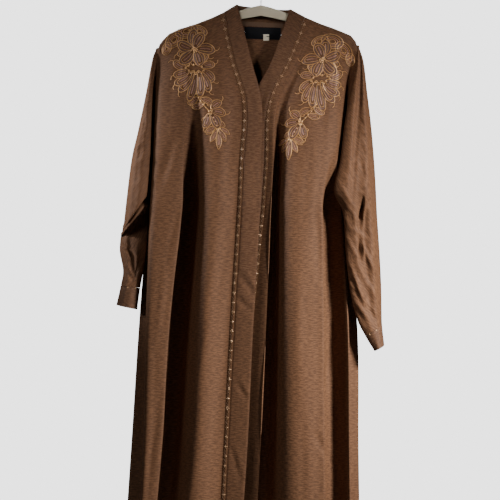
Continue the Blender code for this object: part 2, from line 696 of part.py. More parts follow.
def build_hanger():
    """Curved wooden arms in one piece, rounded along the top, under the shoulder seams."""
    wood = material("cream_wood", CREAM, 0.5)
    stations = np.concatenate([np.linspace(HANGER_LEFT, 0, 21), np.linspace(0, HANGER_RIGHT, 21)[1:]])
    rings = []
    for x in stations:
        top = hanger_top(x)
        from_tip = min(x - HANGER_LEFT, HANGER_RIGHT - x)
        tall = HANGER_TALL + HANGER_EXTRA * (1 - ease(abs(x) / 90.0))
        half = HANGER_THICK / 2
        if from_tip < TIP_ROUND:
            rounding = math.sqrt(max(0.12, 1 - (1 - from_tip / TIP_ROUND) ** 2))
            half = half * rounding
            tall = tall * rounding
            top = top - 5 * (1 - rounding)
        ring = []
        for angle in range(0, 181, 30):
            bend = math.radians(angle)
            ring.append((x, half * math.cos(bend), top - half * (1 - math.sin(bend))))
        ring.append((x, -half * 0.8, top - tall))
        ring.append((x, half * 0.8, top - tall))
        rings.append(ring)
    shape = bmesh.new()
    loops = [[shape.verts.new([c * MM for c in corner]) for corner in ring] for ring in rings]
    count = len(loops[0])
    for here, there in zip(loops, loops[1:]):
        for index in range(count):
            follow = (index + 1) % count
            shape.faces.new((here[index], here[follow], there[follow], there[index]))
    shape.faces.new(list(reversed(loops[0])))
    shape.faces.new(loops[-1])
    mesh = bpy.data.meshes.new("hanger")
    shape.to_mesh(mesh)
    shape.free()
    finish("hanger", mesh, wood)


def build_hook():
    """A wire hook that stands in the hanger's middle and bends over the rail."""
    wire = HOOK_WIRE / 2
    bend_z = wire - HOOK_RADIUS
    route = []
    for step in range(HOOK_STEPS + 1):
        angle = math.radians(HOOK_START + (180 - HOOK_START) * step / HOOK_STEPS)
        route.append((HOOK_RADIUS * math.cos(angle), 0.0, bend_z + HOOK_RADIUS * math.sin(angle)))
    route += [
        (-HOOK_RADIUS * 0.93, 0.0, bend_z - 9.0),
        (-HOOK_RADIUS * 0.66, 0.0, bend_z - 18.0),
        (-HOOK_RADIUS * 0.28, 0.0, bend_z - 25.0),
        (-HOOK_RADIUS * 0.05, 0.0, bend_z - 33.0),
        (0.0, 0.0, bend_z - 42.0),
        (0.0, 0.0, HANGER_TOP + SEAM),
    ]
    curve = bpy.data.curves.new("hanger_hook", "CURVE")
    curve.dimensions = "3D"
    curve.bevel_depth = wire * MM
    curve.bevel_resolution = 2
    curve.use_fill_caps = True
    spline = curve.splines.new("POLY")
    spline.points.add(len(route) - 1)
    for point, place in zip(spline.points, route):
        point.co = (*[c * MM for c in place], 1.0)
    curve.materials.append(material("steel_wire", STEEL, 0.25, 1.0))
    made = bpy.data.objects.new("hanger_hook", curve)
    bpy.context.collection.objects.link(made)


def build():
    clear_scene()
    crepe = material("brown_crepe", BROWN, 0.62)
    dark_crepe = material("dark_crepe", DARK_BROWN, 0.6)
    panels = body_panels()
    walls = {name: wall(name, points, out, CLOTH, crepe) for name, (points, out) in panels.items()}
    front_over, front_over_out = panels["front_over"]
    front_under, front_under_out = panels["front_under"]
    back, back_out = panels["back"]
    band, band_out = back_band_points(back)
    band_wall = wall("band_back", band, band_out, CLOTH, crepe)
    for piece in INSIDE_PIECES:
        build_inside_piece(piece, (band_wall, walls["back"]))
    trim_stuff = material("trim_weave", DARK_BROWN, 0.5)
    for name, source, facing in (
        ("trim_over", front_over, front_over_out),
        ("trim_under", front_under, front_under_out),
    ):
        places, facings = trim_points(source[TRIM_START_ROW:], facing[TRIM_START_ROW:])
        wall(name, places, facings, TRIM_THICK, trim_stuff)
    build_sleeve(
        "sleeve_left",
        "cuff_left",
        SLEEVE_LEFT_SECTIONS,
        (front_over[:, -1], back[:, 0]),
        -1,
        SLEEVE_LEFT_CREASES,
        crepe,
        dark_crepe,
    )
    build_sleeve(
        "sleeve_right",
        "cuff_right",
        SLEEVE_RIGHT_SECTIONS,
        (front_under[:, -1], back[:, -1]),
        1,
        SLEEVE_RIGHT_CREASES,
        crepe,
        dark_crepe,
    )
    build_hanger()
    build_hook()


build()
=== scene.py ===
"""An abaya of brown slub crepe, open in front and hung on a cream wooden hanger.

Metres, +Z up, the front towards -Y. The hook bears on its rail at the origin. Tables are in
millimetres.
"""

import math
from collections import namedtuple

import bmesh
import bpy
import numpy as np
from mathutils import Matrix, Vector
from mathutils.bvhtree import BVHTree


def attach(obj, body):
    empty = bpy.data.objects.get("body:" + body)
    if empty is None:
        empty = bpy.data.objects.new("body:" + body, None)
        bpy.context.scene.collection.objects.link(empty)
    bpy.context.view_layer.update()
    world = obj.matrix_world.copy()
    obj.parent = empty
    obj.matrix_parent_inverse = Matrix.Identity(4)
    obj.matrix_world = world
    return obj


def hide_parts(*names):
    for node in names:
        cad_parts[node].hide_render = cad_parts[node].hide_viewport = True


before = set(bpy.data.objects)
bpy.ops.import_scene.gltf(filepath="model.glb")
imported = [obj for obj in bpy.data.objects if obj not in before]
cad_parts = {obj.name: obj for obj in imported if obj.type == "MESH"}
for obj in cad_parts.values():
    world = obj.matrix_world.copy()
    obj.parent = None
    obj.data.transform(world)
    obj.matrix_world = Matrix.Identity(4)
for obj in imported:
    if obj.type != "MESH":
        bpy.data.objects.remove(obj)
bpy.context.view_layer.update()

MM = 0.001


# The fronts and the back
#
# Three long flared panels of brown slub crepe, from the shoulder seams to the hem. The back is cut on
# the fold of the cloth. They hang from the shoulders in deep soft folds and are sewn at the sides.

CLOTH = 0.8
SEAM = 0.3
UNDERARM_EASE = 0.4
UNDERARM_REACH = 40.0
UNDERARM_SPREAD = 25.0
SEAM_REACH = 30.0
SHOULDER_ROLL = 9.0
ROLL_ROWS = 6
CHEST_ROWS = 36
BODY_ROWS = 200
YOKE = -214.0
CHEST = -304.0
BUST = -450.0
UNDERARM = -540.0
SIDE_TOP = -575.0
HIP = -820.0
KNEE = -1090.0
HEM = -1500.0
LEVELS = (YOKE, CHEST, BUST, UNDERARM, SIDE_TOP, HIP, KNEE, HEM)
NECK_LEFT = -84.0
NECK_RIGHT = 100.0
NECK_DROP = 47.0
NECK_BACK_DEPTH = 12.0
FREE_LEFT = -54.0
FREE_RIGHT = 66.0


def rows_of(kind, *rows):
    """A table of named rows."""
    return [kind(*row) for row in rows]


# The top of the cloth along both shoulders, from the left shoulder tip to the right one
ShoulderPoint = namedtuple("ShoulderPoint", "x z")
SHOULDER_LINE = rows_of(
    ShoulderPoint,
    (-240.0, -193.0),
    (-232.0, -178.0),
    (-222.0, -165.0),
    (-208.0, -151.0),
    (-184.0, -140.0),
    (-151.0, -130.0),
    (-112.0, -115.0),
    (-84.0, -102.0),
    (FREE_LEFT, -83.5),
    (FREE_RIGHT, -94.5),
    (100.0, -113.0),
    (135.0, -128.0),
    (162.0, -137.5),
    (186.0, -147.0),
    (204.0, -155.0),
    (218.0, -172.0),
    (225.0, -186.0),
)

# One row for each fold line of a panel: how many strips of cloth there are before the next line, how
# they bunch (over 1 towards this line, under -1 towards the next), then the line's place across (x)
# and its depth (y) at the shoulder, yoke, chest, underarm, hip, knee and hem, with the bust's after the
# chest's where the line bends there
FoldLine = namedtuple("FoldLine", "name strips bunch x y")
BACK_LINES = rows_of(
    FoldLine,
    ("side_left", 12, 1.5, (-232, -237, -242, -252, -263, -268, -286), (10, 12, 15, 0, -8, -10, -12)),
    ("turn_left", 12, 1, (-219, -225, -234, -255, -277, -295, -323), (10, 15, 22, 20, 9, 10, 12)),
    ("crown_left", 15, 1, (-190, -198, -205, -222, -243, -258, -284), (12, 20, 29, 46, 50, 54, 58)),
    ("valley_left", 14, 1, (-140, -143, -146, -152, -166, -174, -190), (12, 18, 23, 27, 25, 25, 25)),
    ("neck_left", 20, 1.5, (-84, -88, -90, -92, -96, -102, -110), (12, 20, 31, 52, 58, 62, 66)),
    ("centre", 20, -1.5, (8, 4, 0, -2, -6, -10, -14), (14, 20, 26, 36, 33, 31, 30)),
    ("neck_right", 11, 1, (100, 96, 94, 90, 92, 94, 98), (12, 20, 31, 54, 60, 64, 68)),
    ("valley_right", 11, 1, (140, 138, 136, 134, 138, 142, 148), (12, 18, 23, 28, 26, 26, 26)),
    ("crown_right", 12, 1, (182, 176, 170, 168, 180, 186, 196), (12, 20, 28, 44, 48, 52, 56)),
    ("turn_right", 12, -1.5, (208, 197, 188, 191, 219, 222, 228), (10, 15, 22, 20, 11, 12, 14)),
    ("side_right", 0, 1, (217, 205, 194, 189, 200, 202, 208), (10, 12, 14, 0, -6, -8, -10)),
)
BAND_OVER_LINES = rows_of(
    FoldLine,
    ("free_edge", 9, 1.3, (-54, -21, 1, -1, -18, -31, -61), (-10, -29, -47, -69, -72, -74, -76)),
    ("middle", 9, -1.3, (-69, -41, -17, -23, -40, -53, -78), (-10, -29, -45, -65, -67, -69, -71)),
    ("seam", 0, 1, (-84, -60, -34, -44, -61, -75, -95), (-10, -29, -42, -59, -61, -63, -65)),
)
BAND_UNDER_LINES = rows_of(
    FoldLine,
    ("free_edge", 9, 1.3, (66, 24, -20, -39, -62, -78, -98), (-10, -23, -34, -51, -48, -45, -44)),
    ("middle", 9, -1.3, (83, 42, -1, -19, -44, -60, -80), (-10, -24, -36, -52, -48, -45, -43)),
    ("seam", 0, 1, (100, 59, 17, 0, -27, -43, -63), (-10, -25, -38, -53, -49, -46, -44)),
)
FRONT_OVER_LINES = rows_of(
    FoldLine,
    ("seam", 6, 1.4, (-84, -60, -34, -44, -61, -75, -95), (-10, -29, -42, -59, -61, -63, -65)),
    ("groove", 7, 1, (-97, -76, -52, -60, -78, -92, -114), (-11, -29, -39, -54, -56, -58, -60)),
    ("crown", 9, 1, (-119, -104, -90, -103, -124, -141, -166), (-12, -33, -48, -66, -68, -70, -72)),
    ("slope", 11, 1, (-142, -135, -126, -130, -150, -169, -204), (-12, -34, -49, -48, -46, -44, -42)),
    ("valley", 9, 1, (-163, -158, -150, -154, -179, -198, -236), (-12, -32, -37, 6, 9, 9, 8)),
    ("tuck", 6, 1, (-176, -171, -166, -190, -219, -236, -273), (-12, -32, -38, -20, -18, -18, -19)),
    ("lip", 4, 1, (-182, -176, -171, -182, -211, -228, -266), (-12, -32, -43, -53, -54, -55, -56)),
    ("ridge", 8, 1, (-188, -180, -175, -178, -207, -224, -262), (-12, -32, -46, -61, -62, -63, -64)),
    ("column", 9, 1, (-206, -203, -202, -212, -231, -244, -276), (-11, -26, -42, -65, -64, -65, -66)),
    ("trough", 11, -1.5, (-220, -223, -231, -246, -257, -264, -290), (-10, -16, -30, -57, -59, -60, -61)),
    ("side", 0, 1, (-232, -237, -242, -252, -263, -268, -286), (-10, -9, -7, 0, -8, -10, -12)),
)
FRONT_UNDER_LINES = rows_of(
    FoldLine,
    ("seam", 7, 1.4, (100, 59, 17, 0, -27, -43, -63), (-10, -25, -38, -49, -43, -39, -38)),
    ("centre_ridge", 5, 1, (115, 77, 35, 27, 22, 9, -4, -26), (-12, -29, -43, -55, -60, -63, -65, -67)),
    ("lip", 5, 1, (120, 81, 39, 25, 19, 6, -7, -29), (-12, -28, -40, -48, -53, -55, -57, -59)),
    ("tuck", 8, 1, (124, 85, 42, 26, 13, -2, -15, -37), (-12, -28, -37, -34, -26, -22, -22, -24)),
    ("valley", 11, 1, (132, 92, 50, 38, 32, 24, 14, 2), (-12, -27, -34, -14, 2, 6, 6, 6)),
    ("panel_edge", 11, 1, (146, 110, 68, 54, 47, 47, 47, 48), (-12, -32, -45, -51, -56, -58, -60, -62)),
    ("crown", 10, 1, (162, 137, 110, 94, 82, 82, 84, 88), (-12, -34, -51, -68, -76, -78, -80, -82)),
    ("slope", 5, 1, (178, 161, 148, 138, 124, 126, 128, 132), (-12, -31, -47, -61, -70, -73, -75, -77)),
    ("edge", 5, 1, (184, 169, 160, 152, 139, 142, 144, 148), (-12, -28, -43, -56, -63, -67, -69, -71)),
    ("side_tuck", 7, 1, (189, 175, 168, 160, 132, 136, 138, 142), (-11, -25, -39, -47, -28, -26, -28, -30)),
    ("side_trough", 7, 1, (195, 182, 176, 167, 152, 162, 167, 175), (-11, -19, -33, -41, 2, 6, 6, 6)),
    (
        "side_ridge",
        8,
        -1.5,
        (206, 192, 186, 177, 181, 196, 199, 205),
        (-10, -9, -22, -33, -18, -30, -32, -34),
    ),
    ("side", 0, 1, (217, 205, 194, 189, 200, 202, 208), (-10, -4, -4, 0, -6, -8, -10)),
)

# One row for each crease pressed into a panel: its middle, its length and half width, its lean from
# upright in degrees (over 0 runs down to the right) and its depth, under 0 for a ridge
Crease = namedtuple("Crease", "x z length width lean depth")
FRONT_OVER_CREASES = rows_of(
    Crease,
    (-106, -232, 170, 11, 14, 2.4),
    (-190, -250, 150, 9, -10, 2.0),
    (-70, -420, 260, 8, -3, 1.8),
    (-128, -520, 200, 10, 8, -2.0),
    (-214, -452, 170, 9, -14, 3.0),
    (-200, -610, 190, 8, -9, 2.2),
    (-92, -700, 300, 9, -5, 1.6),
    (-226, -760, 240, 8, -4, -2.0),
    (-150, -880, 260, 11, -9, 2.0),
    (-104, -1040, 340, 8, -4, 1.5),
    (-240, -1060, 280, 8, -5, 2.2),
    (-172, -1230, 300, 12, -9, -2.2),
    (-128, -1330, 240, 9, -7, 1.8),
)
FRONT_UNDER_CREASES = rows_of(
    Crease,
    (72, -262, 160, 13, -17, 4.0),
    (150, -300, 170, 10, -8, 2.4),
    (176, -430, 180, 8, -10, 2.6),
    (100, -500, 260, 10, -3, 1.8),
    (130, -640, 220, 9, 7, 2.0),
    (18, -610, 240, 8, -3, 1.8),
    (82, -800, 280, 11, 2, -1.8),
    (152, -905, 230, 8, -6, 2.4),
    (4, -960, 300, 8, -5, 1.6),
    (143, -1092, 120, 7, 34, 2.2),
    (92, -1130, 320, 10, 3, 1.8),
    (180, -1240, 260, 8, 2, 2.0),
    (70, -1340, 260, 9, 4, -1.8),
)
BACK_CREASES = rows_of(
    Crease,
    (-120, -260, 190, 12, 16, 3.2),
    (-60, -330, 240, 14, 6, 2.6),
    (64, -300, 230, 13, -9, 3.0),
    (132, -252, 160, 10, -18, 2.8),
    (-196, -470, 200, 12, -22, 3.6),
    (158, -486, 170, 11, 25, 3.4),
    (-30, -640, 420, 15, 3, 2.6),
    (40, -905, 520, 17, -2, 3.2),
    (-70, -1130, 560, 16, 3, -2.4),
    (130, -1210, 420, 13, 4, 2.8),
    (-214, -1160, 480, 14, 5, -2.6),
    (-238, -790, 240, 9, 12, 2.4),
    (176, -700, 210, 10, -8, -2.2),
    (12, -1330, 260, 11, -3, 2.2),
)


def smooth(stations, values, at):
    """A smooth curve through the values at the stations, read at the given places."""
    stations = np.asarray(stations, float)
    values = np.asarray(values, float)
    at = np.atleast_1d(np.asarray(at, float))
    gaps = np.diff(stations)
    steps = np.diff(values, axis=0) / gaps.reshape(-1, *[1] * (values.ndim - 1))
    slopes = np.concatenate([steps[:1], (steps[1:] + steps[:-1]) / 2, steps[-1:]])
    place = np.clip(np.searchsorted(stations, at, side="right") - 1, 0, len(gaps) - 1)
    shape = (-1, *[1] * (values.ndim - 1))
    gap = gaps[place].reshape(shape)
    t = ((at - stations[place]) / gaps[place]).reshape(shape)
    return (
        (2 * t**3 - 3 * t**2 + 1) * values[place]
        + (t**3 - 2 * t**2 + t) * gap * slopes[place]
        + (3 * t**2 - 2 * t**3) * values[place + 1]
        + (t**3 - t**2) * gap * slopes[place + 1]
    )


def run_length(line):
    """How far each point of a line is from its start, along it."""
    return np.concatenate([[0], np.cumsum(np.linalg.norm(np.diff(line, axis=0), axis=1))])


def read_at(place, stations, values):
    """The values of a line's points, read at a place between its stations."""
    return np.array([np.interp(place, stations, column) for column in values.T])


def ease(value):
    """A share from 0 to 1 that starts and ends gently."""
    value = np.clip(value, 0.0, 1.0)
    return value * value * (3 - 2 * value)


def unit(vectors):
    """The same directions with a length of 1."""
    return vectors / np.linalg.norm(vectors, axis=-1, keepdims=True)


def shoulder_height(x):
    return np.interp(x, [p.x for p in SHOULDER_LINE], [p.z for p in SHOULDER_LINE])


def neck_share(x):
    """How far round the back of the neck a place is: 0 at and outside its corners, 1 in the middle."""
    middle = (NECK_LEFT + NECK_RIGHT) / 2
    reach = (NECK_RIGHT - NECK_LEFT) / 2
    return max(0.0, 1 - (abs(x - middle) / reach) ** 2.6) ** 0.8


def top_of_front(x):
    return float(shoulder_height(x)), 0.0


def top_of_back(x):
    """The height and depth of the back's top edge: the shoulder seams, and the neck seam between them."""
    if NECK_LEFT < x < NECK_RIGHT:
        corners = [shoulder_height(NECK_LEFT), shoulder_height(NECK_RIGHT)]
        seam = np.interp(x, [NECK_LEFT, NECK_RIGHT], corners) - NECK_DROP * neck_share(x)
        return float(seam), NECK_BACK_DEPTH * neck_share(x) ** 0.15
    return float(shoulder_height(x)), 0.0


def row_heights(top):
    """Heights of a panel's rows: close together over the shoulder, then even down to the hem."""
    roll = top - SHOULDER_ROLL * (1 - np.cos(np.linspace(0, math.pi / 2, ROLL_ROWS + 1)))
    chest = np.linspace(roll[-1], CHEST, CHEST_ROWS + 1)[1:]
    below = np.linspace(CHEST, HEM, BODY_ROWS + 1)[1:]
    return np.concatenate([roll, chest, below])


def line_levels(line):
    """A fold line's places and depths at the shoulder and each level. A line that states none at the
    bust runs straight past it, as every line does where the sides start."""
    places = np.array([line.x, line.y], float)
    if places.shape[1] < len(LEVELS):
        share = (CHEST - BUST) / (CHEST - UNDERARM)
        places = np.insert(places, 3, places[:, 2] + (places[:, 3] - places[:, 2]) * share, axis=1)
    share = (UNDERARM - SIDE_TOP) / (UNDERARM - HIP)
    side_top = places[:, 4] + (places[:, 5] - places[:, 4]) * share
    return np.insert(places, 5, side_top, axis=1)


def mirrored_line(edge_line, next_line):
    """The line as far outside an edge as the next line is inside it."""
    return 2 * line_levels(edge_line) - line_levels(next_line)


def column_places(lines):
    """Places of a panel's columns, counted in fold lines."""
    places = [0.0]
    for index, line in enumerate(lines[:-1]):
        share = np.linspace(0, 1, line.strips + 1)[1:]
        if line.bunch > 0:
            share = share**line.bunch
        else:
            share = 1 - (1 - share) ** -line.bunch
        places += list(index + share)
    return places


def below_underarm(z):
    """0 above the underarm, where the sleeves join the panels, and 1 below it, where the sides do."""
    return ease((UNDERARM + UNDERARM_SPREAD - z) / (2 * UNDERARM_SPREAD))


def seam_ease(z):
    """Half the gap at a side or armhole seam. It opens a little where four seams meet under the arm."""
    return SEAM / 2 + (UNDERARM_EASE - SEAM / 2) * ease(1 - abs(z - UNDERARM) / UNDERARM_REACH)


def from_edge(points, last):
    """How far each point of a panel is from its first or last edge, along its row."""
    steps = np.linalg.norm(np.diff(points, axis=1), axis=2)
    if last:
        steps = steps[:, ::-1]
    far = np.concatenate([np.zeros((len(points), 1)), np.cumsum(steps, axis=1)], axis=1)
    return far[:, ::-1] if last else far


def fold_panel(lines, before, after, top, side, gaps):
    """A panel's points in rows from the top down, and its outward directions. before and after are the
    fold lines beside it, above and below the underarm. side is -1 for a front and 1 for the back."""
    keys = np.array([line_levels(line) for line in lines])
    padded = np.concatenate([before[0][None], keys, after[0][None]])
    index = np.arange(-1, len(lines) + 1)
    columns = []
    for place in column_places(lines):
        top_z, top_y = top(float(smooth(index, padded[:, 0, 0], [place])[0]))
        heights = row_heights(top_z)
        stations = [-top_z] + [-z for z in LEVELS]
        down = smooth(stations, keys.transpose(2, 0, 1), -heights)
        share = below_underarm(heights)[:, None]
        ends = [
            smooth(stations, above.T, -heights) * (1 - share) + smooth(stations, below.T, -heights) * share
            for above, below in (before, after)
        ]
        rows = np.concatenate([ends[0][:, None], down, ends[1][:, None]], axis=1)
        across = smooth(index, rows.transpose(1, 0, 2), [place])[0]
        over = np.clip((top_z - heights) / SHOULDER_ROLL, 0, 1)
        start_y = side * (top_y + SEAM / 2)
        round_y = start_y + (across[ROLL_ROWS, 1] - start_y) * np.sqrt(1 - (1 - over) ** 2)
        y = np.where(over < 1, round_y, across[:, 1])
        columns.append(np.stack([across[:, 0], y, heights], axis=1))
    points = np.stack(columns, axis=1)
    across_way = np.gradient(points, axis=1)
    out = unit(np.cross(across_way, np.gradient(points, axis=0)))
    out = out * np.sign(out[len(out) // 2, :, 1].sum() * side)
    for last, gap in zip((False, True), gaps):
        edge = -1 if last else 0
        direction = unit(across_way[:, edge]) * (-1 if last else 1)
        offset = seam_ease(points[:, edge, 2]) if gap == "side" else np.full(len(points), gap)
        weight = np.clip(1 - from_edge(points, last) / SEAM_REACH, 0, 1) ** 2
        points = points + direction[:, None] * (offset[:, None] * weight)[..., None]
    return points, out


# A crease wavers along its length, and the cloth beside it rises in a low welt
WAVER = 0.35
WELT = 0.45
WELT_AWAY = 1.8


def press_creases(points, out, creases, face=0):
    """Presses soft creases into cloth. face -1 or 1 keeps them to the cloth that faces forward or
    back."""
    share = ease(2 * out[..., 1] * face) if face else 1.0
    for crease in creases:
        lean = math.radians(crease.lean)
        x = points[..., 0] - crease.x
        z = points[..., 2] - crease.z
        along = x * math.sin(lean) - z * math.cos(lean)
        across = (x * math.cos(lean) + z * math.sin(lean)) / crease.width
        across = across + WAVER * np.sin(along / crease.length * 5.0)
        fade = np.clip(1 - (2 * along / crease.length) ** 2, 0, 1) ** 1.5
        trough = np.exp(-(across**2)) - WELT * np.exp(-((across - WELT_AWAY) ** 2))
        points = points - out * (crease.depth * fade * trough * share)[..., None]
    return points


def turn_edges(points, out, first, last, depth=0.9, reach=2.6):
    """Rounds a panel's edges down into their seams."""
    for edge, turned in ((False, first), (True, last)):
        if turned:
            dip = depth * np.exp(-((from_edge(points, edge) / reach) ** 2))
            points = points - out * dip[..., None]
    return points


def with_allowances(points, out, wide=5.0, deep=2.2):
    """A sheet of cloth with a narrow seam allowance turned in behind each side edge."""
    added = []
    for edge, beside in ((0, 1), (-1, -2)):
        away = unit(points[:, edge] - points[:, beside])
        added.append((points[:, edge] + away * wide - out[:, edge] * deep)[:, None])
    points = np.concatenate([added[0], points, added[1]], axis=1)
    return points, np.concatenate([out[:, :1], out, out[:, -1:]], axis=1)


def cloth_map(points):
    """Each point's place on the flat cloth: across it and down it, in metres."""
    middle = points.shape[1] // 2
    steps = np.linalg.norm(np.diff(points, axis=1), axis=2)
    across = np.concatenate([np.zeros((len(points), 1)), np.cumsum(steps, axis=1)], axis=1)
    across = across - across[:, middle : middle + 1] + points[:, middle : middle + 1, 0]
    down = -run_length(points[:, middle])[:, None]
    return np.stack([across, np.broadcast_to(down, across.shape)], axis=2) * MM


def sew_sheet(name, points, out, thickness, stuff):
    """A sheet of cloth through rows of points, with its thickness behind it and its map in metres."""
    rows, columns = points.shape[:2]
    places = cloth_map(points)
    facing = np.cross(np.gradient(points, axis=1), -np.gradient(points, axis=0))
    if (facing * out).sum() < 0:
        points = points[:, ::-1]
        places = places[:, ::-1]
    bpy.ops.object.select_all(action="DESELECT")
    bpy.ops.mesh.primitive_grid_add(x_subdivisions=columns - 1, y_subdivisions=rows - 1, size=1.0)
    piece = bpy.context.object
    piece.name = name
    piece.data.name = name
    piece.data.vertices.foreach_set("co", (points[::-1] * MM).reshape(-1))
    corners = np.empty(len(piece.data.loops), dtype=np.int64)
    piece.data.loops.foreach_get("vertex_index", corners)
    layer = piece.data.uv_layers[0]
    layer.name = "cloth"
    layer.data.foreach_set("uv", places[::-1].reshape(-1, 2)[corners].reshape(-1))
    piece.data.update()
    bpy.ops.object.modifier_add(type="SOLIDIFY")
    piece.modifiers[-1].thickness = thickness * MM
    piece.modifiers[-1].offset = -1.0
    bpy.ops.object.modifier_apply(modifier=piece.modifiers[-1].name)
    bpy.ops.object.shade_smooth_by_angle(angle=math.radians(50))
    piece.data.materials.append(stuff)
    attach(piece, "root")
    return piece


def shown(sockets, name):
    """The socket of that name that the node uses in its present mode."""
    return next(socket for socket in sockets if socket.name == name and socket.enabled)


def add_node(tree, kind, name, modes=None, **values):
    """A node of a material or group, with its modes and then the values of its sockets."""
    node = tree.nodes.new(kind)
    node.name = name
    for mode, choice in (modes or {}).items():
        setattr(node, mode, choice)
    for socket, value in values.items():
        shown(node.inputs, socket.replace("_", " ")).default_value = value
    return node


def link(tree, start, output, end, socket):
    tree.links.new(shown(start.outputs, output), shown(end.inputs, socket))


def new_material(name, **settings):
    """A material, its node tree and its shader, with the shader's settings."""
    made = bpy.data.materials.new(name)
    made.use_nodes = True
    shader = made.node_tree.nodes["Principled BSDF"]
    for setting, value in settings.items():
        shader.inputs[setting.replace("_", " ")].default_value = value
    return made, made.node_tree, shader


def two_colours(tree, name, dark, light, source, output, target, socket="Base Color"):
    """Mixes two colours by a texture and hands the result on."""
    mix = add_node(tree, "ShaderNodeMix", name, {"data_type": "RGBA"}, A=(*dark, 1.0), B=(*light, 1.0))
    link(tree, source, output, mix, "Factor")
    link(tree, mix, "Result", target, socket)


def relief(tree, name, strength, height, source, output, shader):
    """Raises the surface by a texture, by up to a height in millimetres."""
    bump = add_node(tree, "ShaderNodeBump", name, Strength=strength, Distance=height * MM)
    link(tree, source, output, bump, "Height")
    link(tree, bump, "Normal", shader, "Normal")


def clouds(tree, name, where, scale, detail):
    """Even noise through the piece."""
    noise = add_node(tree, "ShaderNodeTexNoise", name, Scale=scale, Detail=detail)
    link(tree, where, "Object", noise, "Vector")
    return noise


def streaks(tree, name, entry, scale, detail, output="Vector"):
    """Noise drawn out into threads: scale is its cells in a metre across, down and through."""
    stretch = add_node(tree, "ShaderNodeMapping", name + " place", Scale=scale)
    noise = add_node(tree, "ShaderNodeTexNoise", name, Scale=1.0, Detail=detail, Roughness=0.6)
    link(tree, entry, output, stretch, "Vector")
    link(tree, stretch, "Vector", noise, "Vector")
    return noise


def slub_weave_group():
    """The crepe's weave: uneven crosswise slub threads over a fine crinkled ground."""
    group = bpy.data.node_groups.new("slub_weave", "ShaderNodeTree")
    group.interface.new_socket("Vector", in_out="INPUT", socket_type="NodeSocketVector")
    group.interface.new_socket("Shade", in_out="OUTPUT", socket_type="NodeSocketFloat")
    group.interface.new_socket("Height", in_out="OUTPUT", socket_type="NodeSocketFloat")
    entry = add_node(group, "NodeGroupInput", "entry")
    leave = add_node(group, "NodeGroupOutput", "leave")
    slubs = streaks(group, "slubs", entry, (85.0, 420.0, 1.0), 3.0)
    threads = streaks(group, "threads", entry, (190.0, 1350.0, 1.0), 2.0)
    ground = streaks(group, "crinkle", entry, (900.0, 500.0, 1.0), 2.0)
    raised = add_node(
        group,
        "ShaderNodeMapRange",
        "raised slubs",
        {"interpolation_type": "SMOOTHSTEP"},
        From_Min=0.38,
        From_Max=0.63,
    )
    link(group, slubs, "Fac", raised, "Value")
    first = add_node(group, "ShaderNodeMix", "slubs and threads", Factor=0.36)
    link(group, raised, "Result", first, "A")
    link(group, threads, "Fac", first, "B")
    second = add_node(group, "ShaderNodeMix", "with ground", Factor=0.16)
    link(group, first, "Result", second, "A")
    link(group, ground, "Fac", second, "B")
    link(group, first, "Result", leave, "Shade")
    link(group, second, "Result", leave, "Height")
    return group


slub_weave = slub_weave_group()
CREPE_RELIEF = 0.7


def crepe(name, dark, light, grain):
    """Slub crepe: dark and light are its colours between and on the slubs, grain the turn of its
    threads in degrees."""
    made, tree, shader = new_material(
        name,
        Roughness=0.72,
        Specular_IOR_Level=0.22,
        Sheen_Weight=0.06,
        Sheen_Roughness=0.45,
        Sheen_Tint=(0.9, 0.62, 0.46, 1.0),
    )
    cloth_place = add_node(tree, "ShaderNodeUVMap", "flat cloth", {"uv_map": "cloth"})
    turn = add_node(tree, "ShaderNodeMapping", "grain", Rotation=(0.0, 0.0, math.radians(grain)))
    weave = add_node(tree, "ShaderNodeGroup", "weave", {"node_tree": slub_weave})
    dye = clouds(tree, "uneven dye", add_node(tree, "ShaderNodeTexCoord", "place"), 7.0, 2.0)
    depth = add_node(tree, "ShaderNodeMapRange", "dye depth", To_Min=0.88, To_Max=1.12)
    shade = add_node(tree, "ShaderNodeVectorMath", "dyed", {"operation": "SCALE"})
    link(tree, cloth_place, "UV", turn, "Vector")
    link(tree, turn, "Vector", weave, "Vector")
    two_colours(tree, "thread colour", dark, light, weave, "Shade", shade, "Vector")
    link(tree, dye, "Fac", depth, "Value")
    link(tree, depth, "Result", shade, "Scale")
    link(tree, shade, "Vector", shader, "Base Color")
    relief(tree, "raised threads", CREPE_RELIEF, 0.5, weave, "Height", shader)
    return made


BROWN_DARK = (0.059, 0.0248, 0.0104)
BROWN_LIGHT = (0.152, 0.0680, 0.0306)
brown_crepe = crepe("brown_crepe", BROWN_DARK, BROWN_LIGHT, 0.0)
# The bands' crepe is the brown crepe made a little darker: painted shade for the shade the bands lie in.
shaded_band_crepe = crepe("shaded_band_crepe", (0.052, 0.0220, 0.0093), (0.130, 0.0580, 0.0260), 0.0)


def beside_armhole(side_line, way, depth):
    """The sleeve's cloth beside a panel's edge."""
    return line_levels(side_line) + np.array([[9.0 * way], [depth]])


front_over, front_over_out = fold_panel(
    FRONT_OVER_LINES,
    (line_levels(BAND_OVER_LINES[1]), line_levels(BAND_OVER_LINES[1])),
    (beside_armhole(FRONT_OVER_LINES[-1], -1, -8), line_levels(BACK_LINES[1])),
    top_of_front,
    -1,
    (SEAM / 2, "side"),
)
front_under, front_under_out = fold_panel(
    FRONT_UNDER_LINES,
    (line_levels(BAND_UNDER_LINES[1]), line_levels(BAND_UNDER_LINES[1])),
    (beside_armhole(FRONT_UNDER_LINES[-1], 1, -8), line_levels(BACK_LINES[-2])),
    top_of_front,
    -1,
    (SEAM / 2, "side"),
)
back, back_out = fold_panel(
    BACK_LINES,
    (beside_armhole(BACK_LINES[0], -1, 8), line_levels(FRONT_OVER_LINES[-2])),
    (beside_armhole(BACK_LINES[-1], 1, 8), line_levels(FRONT_UNDER_LINES[-2])),
    top_of_back,
    1,
    ("side", "side"),
)
front_over = press_creases(front_over, front_over_out, FRONT_OVER_CREASES)
